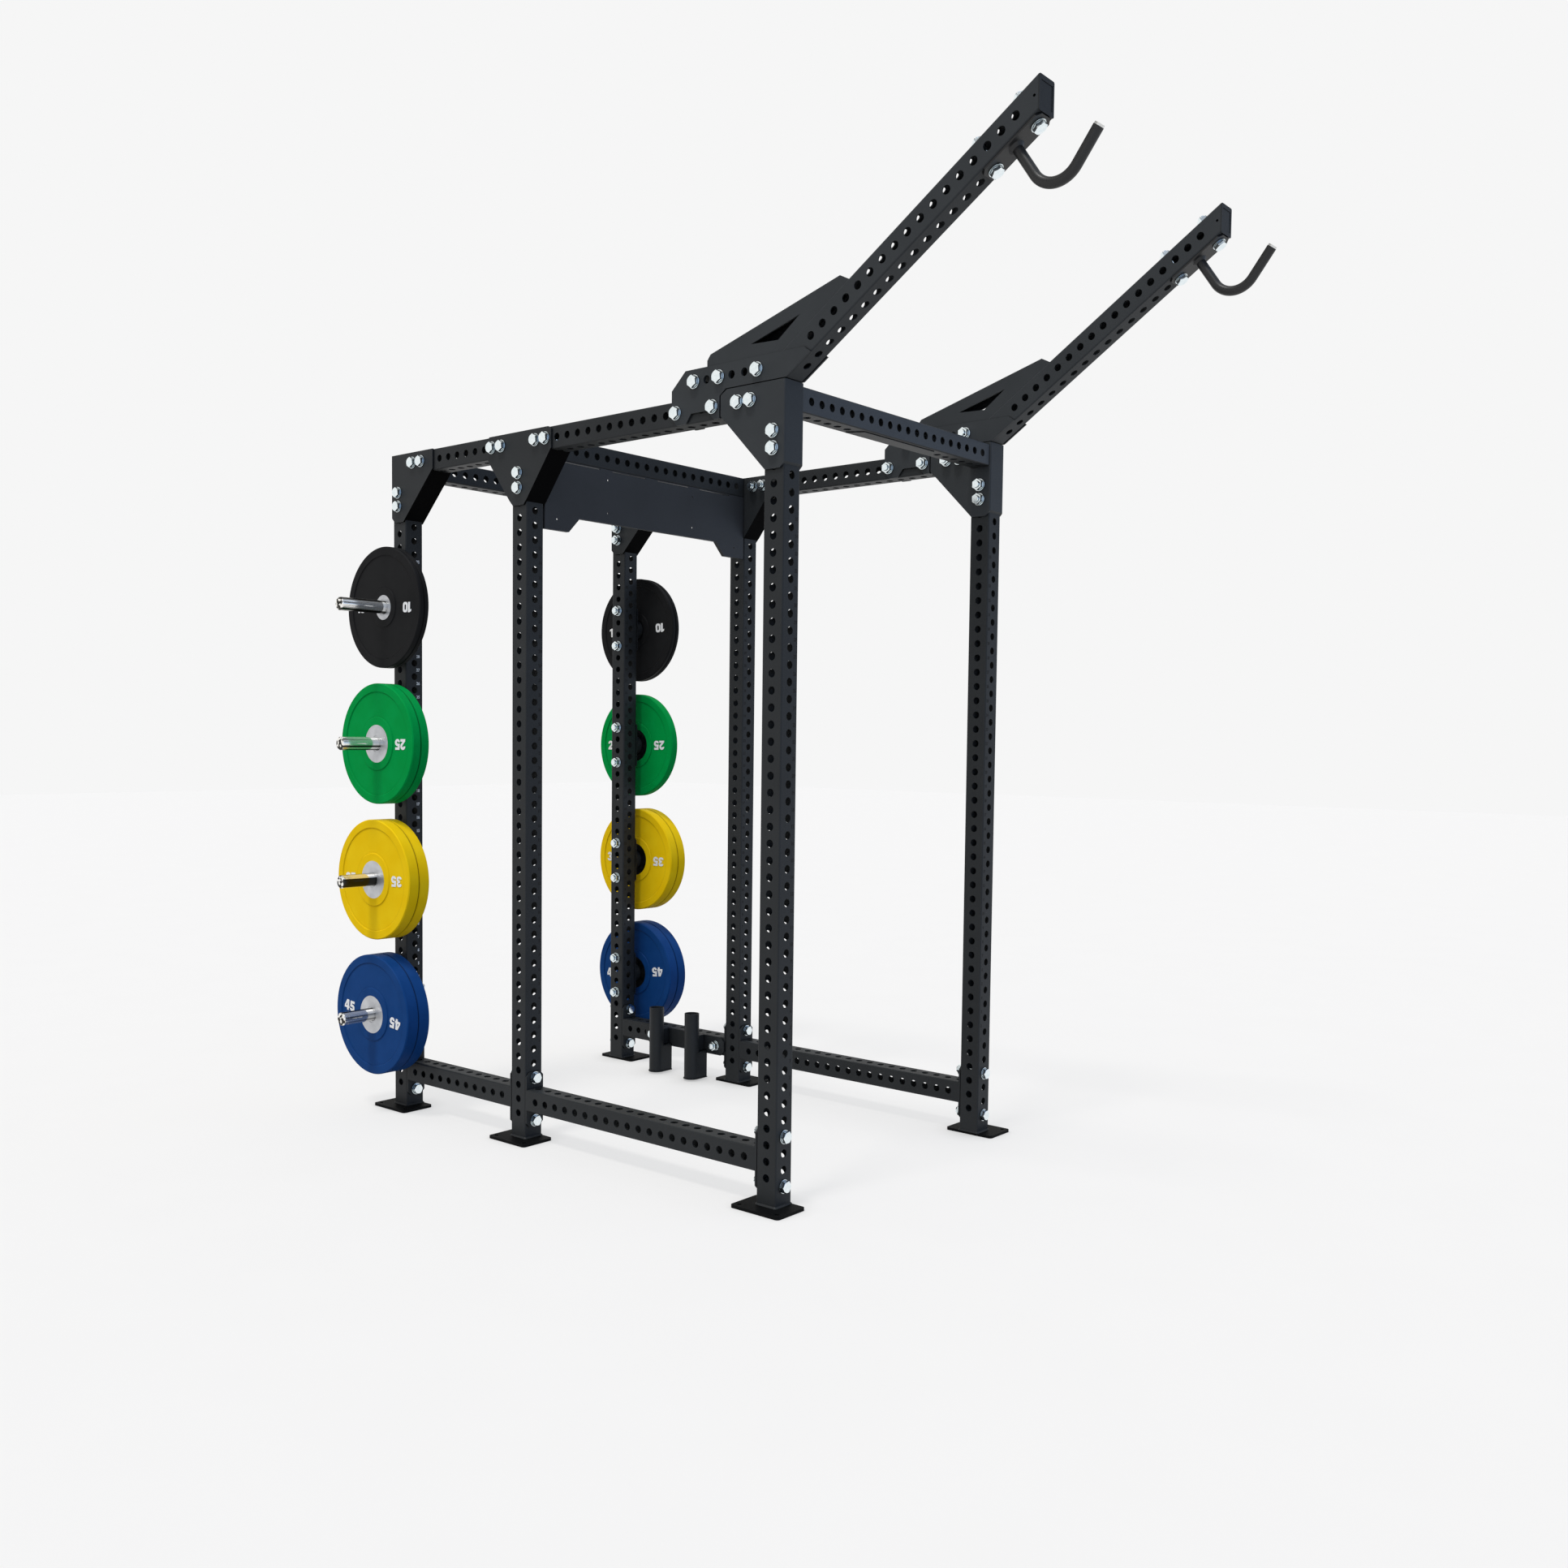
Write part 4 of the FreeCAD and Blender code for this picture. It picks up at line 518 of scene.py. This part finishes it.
def mesh_from_curve(curve):
    """The filled mesh of a text or of closed curves."""
    carrier = bpy.data.objects.new(curve.name, curve)
    bpy.context.scene.collection.objects.link(carrier)
    bpy.context.view_layer.update()
    mesh = bpy.data.meshes.new_from_object(carrier)
    bpy.data.objects.remove(carrier)
    return mesh


def text_mesh(text, height, thick, bold):
    """A thin mesh of a number, centred on the origin in the XY plane."""
    curve = bpy.data.curves.new("number", "FONT")
    curve.body = text
    curve.align_x = "CENTER"
    curve.size = height / FONT_DIGIT_SHARE
    curve.extrude = thick / 2
    curve.offset = bold
    curve.resolution_u = 3
    mesh = mesh_from_curve(curve)
    xs = [v.co.x for v in mesh.vertices]
    ys = [v.co.y for v in mesh.vertices]
    middle = Vector(((min(xs) + max(xs)) / 2, (min(ys) + max(ys)) / 2, 0.0))
    mesh.transform(Matrix.Translation(-middle))
    return mesh


def arc(x, y, wide, high, first, last, steps=12):
    """Points on an ellipse from one angle to another, in degrees."""
    angles = [math.radians(first + (last - first) * step / steps) for step in range(steps + 1)]
    return [(x + wide * math.cos(a), y + high * math.sin(a)) for a in angles]


def pill(x, y, wide, high, corner):
    """A rectangle with round corners, as one closed loop."""
    loop = []
    for quarter, (sx, sy) in enumerate(((1, 1), (-1, 1), (-1, -1), (1, -1))):
        centre_x = x + sx * (wide - corner)
        centre_y = y + sy * (high - corner)
        start = 90 * quarter
        loop += arc(centre_x, centre_y, corner, corner, start, start + 90, steps=6)
    return loop


# Heavy digits one unit high: width and closed loops
DIGITS = {
    "0": (0.74, [pill(0.37, 0.5, 0.37, 0.5, 0.30), pill(0.37, 0.5, 0.125, 0.27, 0.12)]),
    "1": (0.50, [[(0.22, 0), (0.50, 0), (0.50, 1), (0.28, 1), (0.02, 0.88), (0.02, 0.67),
                  (0.22, 0.75)]]),
    "2": (0.74, [[(0.02, 0), (0.73, 0), (0.73, 0.24), (0.40, 0.24), (0.60, 0.42)]
                 + arc(0.37, 0.665, 0.365, 0.335, -36, 180)
                 + arc(0.37, 0.665, 0.10, 0.10, 180, -30) + [(0.02, 0.19)]]),
    "3": (0.74, [arc(0.36, 0.735, 0.355, 0.265, 176, -48)
                 + arc(0.36, 0.28, 0.375, 0.28, 50, -176)
                 + arc(0.36, 0.285, 0.11, 0.09, -180, 90) + [(0.25, 0.375), (0.25, 0.61)]
                 + arc(0.36, 0.69, 0.10, 0.08, -90, 180)]),
    "4": (0.76, [[(0.40, 0), (0.66, 0), (0.66, 0.20), (0.76, 0.20), (0.76, 0.41), (0.66, 0.41),
                  (0.66, 1), (0.33, 1), (0, 0.43), (0, 0.20), (0.40, 0.20)],
                 [(0.40, 0.41), (0.40, 0.74), (0.21, 0.41)]]),
    "5": (0.73, [[(0.05, 1), (0.69, 1), (0.69, 0.77), (0.29, 0.77), (0.28, 0.65)]
                 + arc(0.36, 0.33, 0.37, 0.33, 84, -174)
                 + arc(0.36, 0.32, 0.10, 0.105, -168, 118) + [(0.27, 0.42), (0.02, 0.42)]]),
}


def numeral_mesh(text, height, thick):
    """A flat plate in the shape of a heavy number, centred on the origin in the XY plane."""
    curve = bpy.data.curves.new("numeral", "CURVE")
    curve.dimensions = "2D"
    curve.fill_mode = "BOTH"
    curve.extrude = thick / 2
    total = sum(DIGITS[digit][0] for digit in text) + DIGIT_GAP * (len(text) - 1)
    left = -total / 2
    for digit in text:
        wide, loops = DIGITS[digit]
        for loop in loops:
            spline = curve.splines.new("POLY")
            spline.points.add(len(loop) - 1)
            for point, (x, y) in zip(spline.points, loop):
                point.co = ((left + x) * height, (y - 0.5) * height, 0.0, 1.0)
            spline.use_cyclic_u = True
        left += wide + DIGIT_GAP
    return mesh_from_curve(curve)


# Pieces that the scene adds

def mesh_object(name, mesh, material, body):
    """A piece that rides on a body and takes its finish from a slot."""
    piece = bpy.data.objects.new(name, mesh)
    bpy.context.scene.collection.objects.link(piece)
    mesh.materials.clear()
    mesh.materials.append(material)
    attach(piece, body)
    return piece


def join_meshes(name, placed):
    """One mesh from (mesh, matrix) pairs."""
    gathered = bmesh.new()
    for mesh, matrix in placed:
        part = mesh.copy()
        part.transform(matrix)
        gathered.from_mesh(part)
        bpy.data.meshes.remove(part)
    joined = bpy.data.meshes.new(name)
    bmesh.ops.remove_doubles(gathered, verts=gathered.verts, dist=1e-6)
    gathered.to_mesh(joined)
    gathered.free()
    return joined


def frame_matrix(right, up, origin):
    """A matrix whose X is right, Y is up and Z faces the viewer."""
    out = right.cross(up)
    matrix = Matrix((right, up, out)).transposed().to_4x4()
    matrix.translation = origin
    return matrix


def hole_numbers(station, side, axis_x, meshes):
    """The column of numbers on a post's front, between its holes and its inner edge."""
    inward = 1.0 if side == "left" else -1.0
    low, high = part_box("upright_%s_%s" % (station, side))
    face_y = (low.y + high.y) / 2 - TUBE_HALF
    lit = (station, side) == LIT_NUMBERS
    offset = LIT_OFFSET if lit else NUMBER_OFFSET
    placed = []
    for n, mesh in meshes.items():
        z = low.z + FRONT_HOLE_START + (FIRST_NUMBER_STEP + n - 1) * HOLE_PITCH
        origin = Vector((axis_x + inward * offset, face_y, z))
        placed.append((mesh, frame_matrix(Vector((1, 0, 0)), Vector((0, 0, 1)), origin)))
    name = "hole_numbers_%s_%s" % (station, side)
    # Painted light in the lit post's numbers, painted shade in the others
    see_through_paint = SEE_THROUGH_LIGHT if lit else SEE_THROUGH_SHADE
    mesh_object(name, join_meshes(name, placed), see_through_paint, BODY_OF_FRAME)


def plate_numerals(weight, side, order, numeral):
    """Four numerals on a weight plate: on each face one upright and one upside down."""
    node = "plate_%s_%s_%s" % (weight, side, order)
    low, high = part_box(node)
    middle = (low + high) / 2
    turn = math.radians(DISC_TURNS[weight]) * (1 if side == "left" else -1)
    spin = Matrix.Rotation(turn, 4, "X")
    up = spin @ Vector((0, 0, 1))
    placed = []
    for outward in (-1.0, 1.0):
        face_x = (low.x + DISC_RECESS) if outward < 0 else (high.x - DISC_RECESS)
        centre_x = face_x + outward * (NUMERAL_PROUD - NUMERAL_SINK) / 2
        right = spin @ (Vector((0, 1, 0)) * outward)
        for way in (-1.0, 1.0):
            origin = Vector((centre_x, middle.y, middle.z))
            origin += right * way * NUMERAL_RADIUS
            placed.append((numeral, frame_matrix(right * -way, up * -way, origin)))
    name = "numerals_%s_%s_%s" % (weight, side, order)
    mesh_object(name, join_meshes(name, placed), NUMERAL_WHITE,
                "disc_%s_%s_%s" % (weight, side, order))


number_meshes = {n: text_mesh(str(n), NUMBER_HEIGHT, 2 * NUMBER_PROUD, NUMBER_BOLDNESS)
                 for n in range(1, NUMBER_COUNT + 1)}
for side in SIDES:
    beam_low, beam_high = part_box("upper_beam_front_" + side)
    for station in STATIONS:
        hole_numbers(station, side, (beam_low.x + beam_high.x) / 2, number_meshes)

numeral_meshes = {weight: numeral_mesh(weight, height, NUMERAL_PROUD + NUMERAL_SINK)
                  for weight, height in NUMERAL_HEIGHTS.items()}
for weight, side, order in weight_plates():
    plate_numerals(weight, side, order, numeral_meshes[weight])


# Floor, light and camera

def pale_floor():
    """A floor that shows the background's tone and still takes the rack's shadow: cast shadow from
    the lamps, and painted shadow in its glow close under the rack.
    """
    material, tree, shader = new_material("floor_pale")
    shader.inputs["Roughness"].default_value = FLOOR_ROUGH
    shader.inputs["Specular IOR Level"].default_value = FLOOR_GLOSS
    grain = noise(tree, object_place(tree), scale=3.0, detail=2.0)
    tree.links.new(between(tree, grain, *FLOOR_TONES), shader.inputs["Base Color"])
    # Painted shadow: the glow is darkened where the rack is near above the floor
    under = openness(tree, SHADOW_REACH, FLOOR_SAMPLES)
    shade = map_range(tree, under, FLOOR_SPAN, (1.0 - SHADOW_DEPTH, 1.0))
    glow = tree.nodes.new("ShaderNodeEmission")
    glow.inputs["Strength"].default_value = FLOOR_GLOW
    tree.links.new(shade.outputs["Result"], glow.inputs["Color"])
    dark = tree.nodes.new("ShaderNodeEmission")
    dark.inputs["Strength"].default_value = 0.0
    rays = tree.nodes.new("ShaderNodeLightPath")
    seen = tree.nodes.new("ShaderNodeMath")
    seen.operation = "MAXIMUM"
    tree.links.new(rays.outputs["Is Camera Ray"], seen.inputs[0])
    tree.links.new(rays.outputs["Is Glossy Ray"], seen.inputs[1])
    shown = mixed_shader(tree, seen.outputs["Value"], dark.outputs["Emission"],
                         glow.outputs["Emission"])
    total = tree.nodes.new("ShaderNodeAddShader")
    tree.links.new(shader.outputs["BSDF"], total.inputs[0])
    tree.links.new(shown, total.inputs[1])
    tree.links.new(total.outputs["Shader"], tree.nodes["Material Output"].inputs["Surface"])
    return material


def make_floor():
    """A wide square floor at the rack's feet."""
    mesh = bpy.data.meshes.new("floor")
    half = FLOOR_SIZE / 2
    ground = CAD_BOUNDS[0][2]
    corners = [(x * half, y * half, ground) for x, y in ((-1, -1), (1, -1), (1, 1), (-1, 1))]
    mesh.from_pydata(corners, [], [(0, 1, 2, 3)])
    floor = bpy.data.objects.new("floor", mesh)
    bpy.context.scene.collection.objects.link(floor)
    mesh.materials.append(pale_floor())


def make_world():
    """A pale studio, cooler towards the front, with darker bands for the metal to show."""
    world = bpy.data.worlds.new("studio")
    bpy.context.scene.world = world
    world.use_nodes = True
    tree = world.node_tree
    place = tree.nodes.new("ShaderNodeTexCoord")
    split = tree.nodes.new("ShaderNodeSeparateXYZ")
    tree.links.new(place.outputs["Generated"], split.inputs["Vector"])
    forward = map_range(tree, split.outputs["Y"], WORLD_TURN, (0.0, 1.0))
    forward.interpolation_type = "SMOOTHSTEP"
    tint = tree.nodes.new("ShaderNodeMixRGB")
    tint.inputs["Color1"].default_value = WORLD_WARM
    tint.inputs["Color2"].default_value = WORLD_COOL
    tree.links.new(forward.outputs["Result"], tint.inputs["Fac"])
    light = tree.nodes["Background"]
    light.inputs["Strength"].default_value = WORLD_LIGHT
    tree.links.new(tint.outputs["Color"], light.inputs["Color"])
    height = map_range(tree, split.outputs["Z"], (-1.0, 1.0), (0.0, 1.0))
    bands = banded(tree, height.outputs["Result"], GLOSS_BANDS)
    mirrored = tree.nodes.new("ShaderNodeBackground")
    mirrored.inputs["Strength"].default_value = BACKGROUND
    tree.links.new(multiplied(tree, tint.outputs["Color"], bands), mirrored.inputs["Color"])
    shown = tree.nodes.new("ShaderNodeBackground")
    shown.inputs["Color"].default_value = (1.0, 1.0, 1.0, 1.0)
    shown.inputs["Strength"].default_value = BACKGROUND
    rays = tree.nodes.new("ShaderNodeLightPath")
    unseen = mixed_shader(tree, rays.outputs["Is Glossy Ray"], light.outputs["Background"],
                          mirrored.outputs["Background"])
    total = mixed_shader(tree, rays.outputs["Is Camera Ray"], unseen,
                         shown.outputs["Background"])
    tree.links.new(total, tree.nodes["World Output"].inputs["Surface"])


def soft_sun(name, strength, spread_degrees, direction, colour):
    """A broad lamp that shines along direction."""
    lamp = bpy.data.lights.new(name, "SUN")
    lamp.energy = strength
    lamp.angle = math.radians(spread_degrees)
    lamp.color = colour
    holder = bpy.data.objects.new(name, lamp)
    holder.rotation_euler = Vector(direction).to_track_quat("-Z", "Y").to_euler()
    bpy.context.scene.collection.objects.link(holder)


def make_camera():
    """The camera of the photograph, worked out from the rack's own corners."""
    lens = bpy.data.cameras.new("camera")
    lens.sensor_width = SENSOR_WIDTH
    lens.lens = FOCAL_LENGTH
    lens.shift_x, lens.shift_y = LENS_SHIFT
    lens.clip_end = VIEW_END
    camera = bpy.data.objects.new("camera", lens)
    forward = CAMERA_FORWARD.normalized()
    right = (CAMERA_RIGHT - forward * CAMERA_RIGHT.dot(forward)).normalized()
    up = right.cross(forward)
    matrix = Matrix((right, up, -forward)).transposed().to_4x4()
    matrix.translation = CAMERA_PLACE
    camera.matrix_world = matrix
    bpy.context.scene.collection.objects.link(camera)
    bpy.context.scene.camera = camera


make_floor()
make_world()
soft_sun("key", strength=1.25, spread_degrees=11.0, direction=(0.45, 0.0, -1.0),
         colour=(1.0, 0.99, 0.97))
soft_sun("fill", strength=0.12, spread_degrees=60.0, direction=(1.0, 0.3, -0.35),
         colour=(1.0, 0.99, 0.98))
make_camera()
bpy.context.scene.view_settings.view_transform = "Standard"
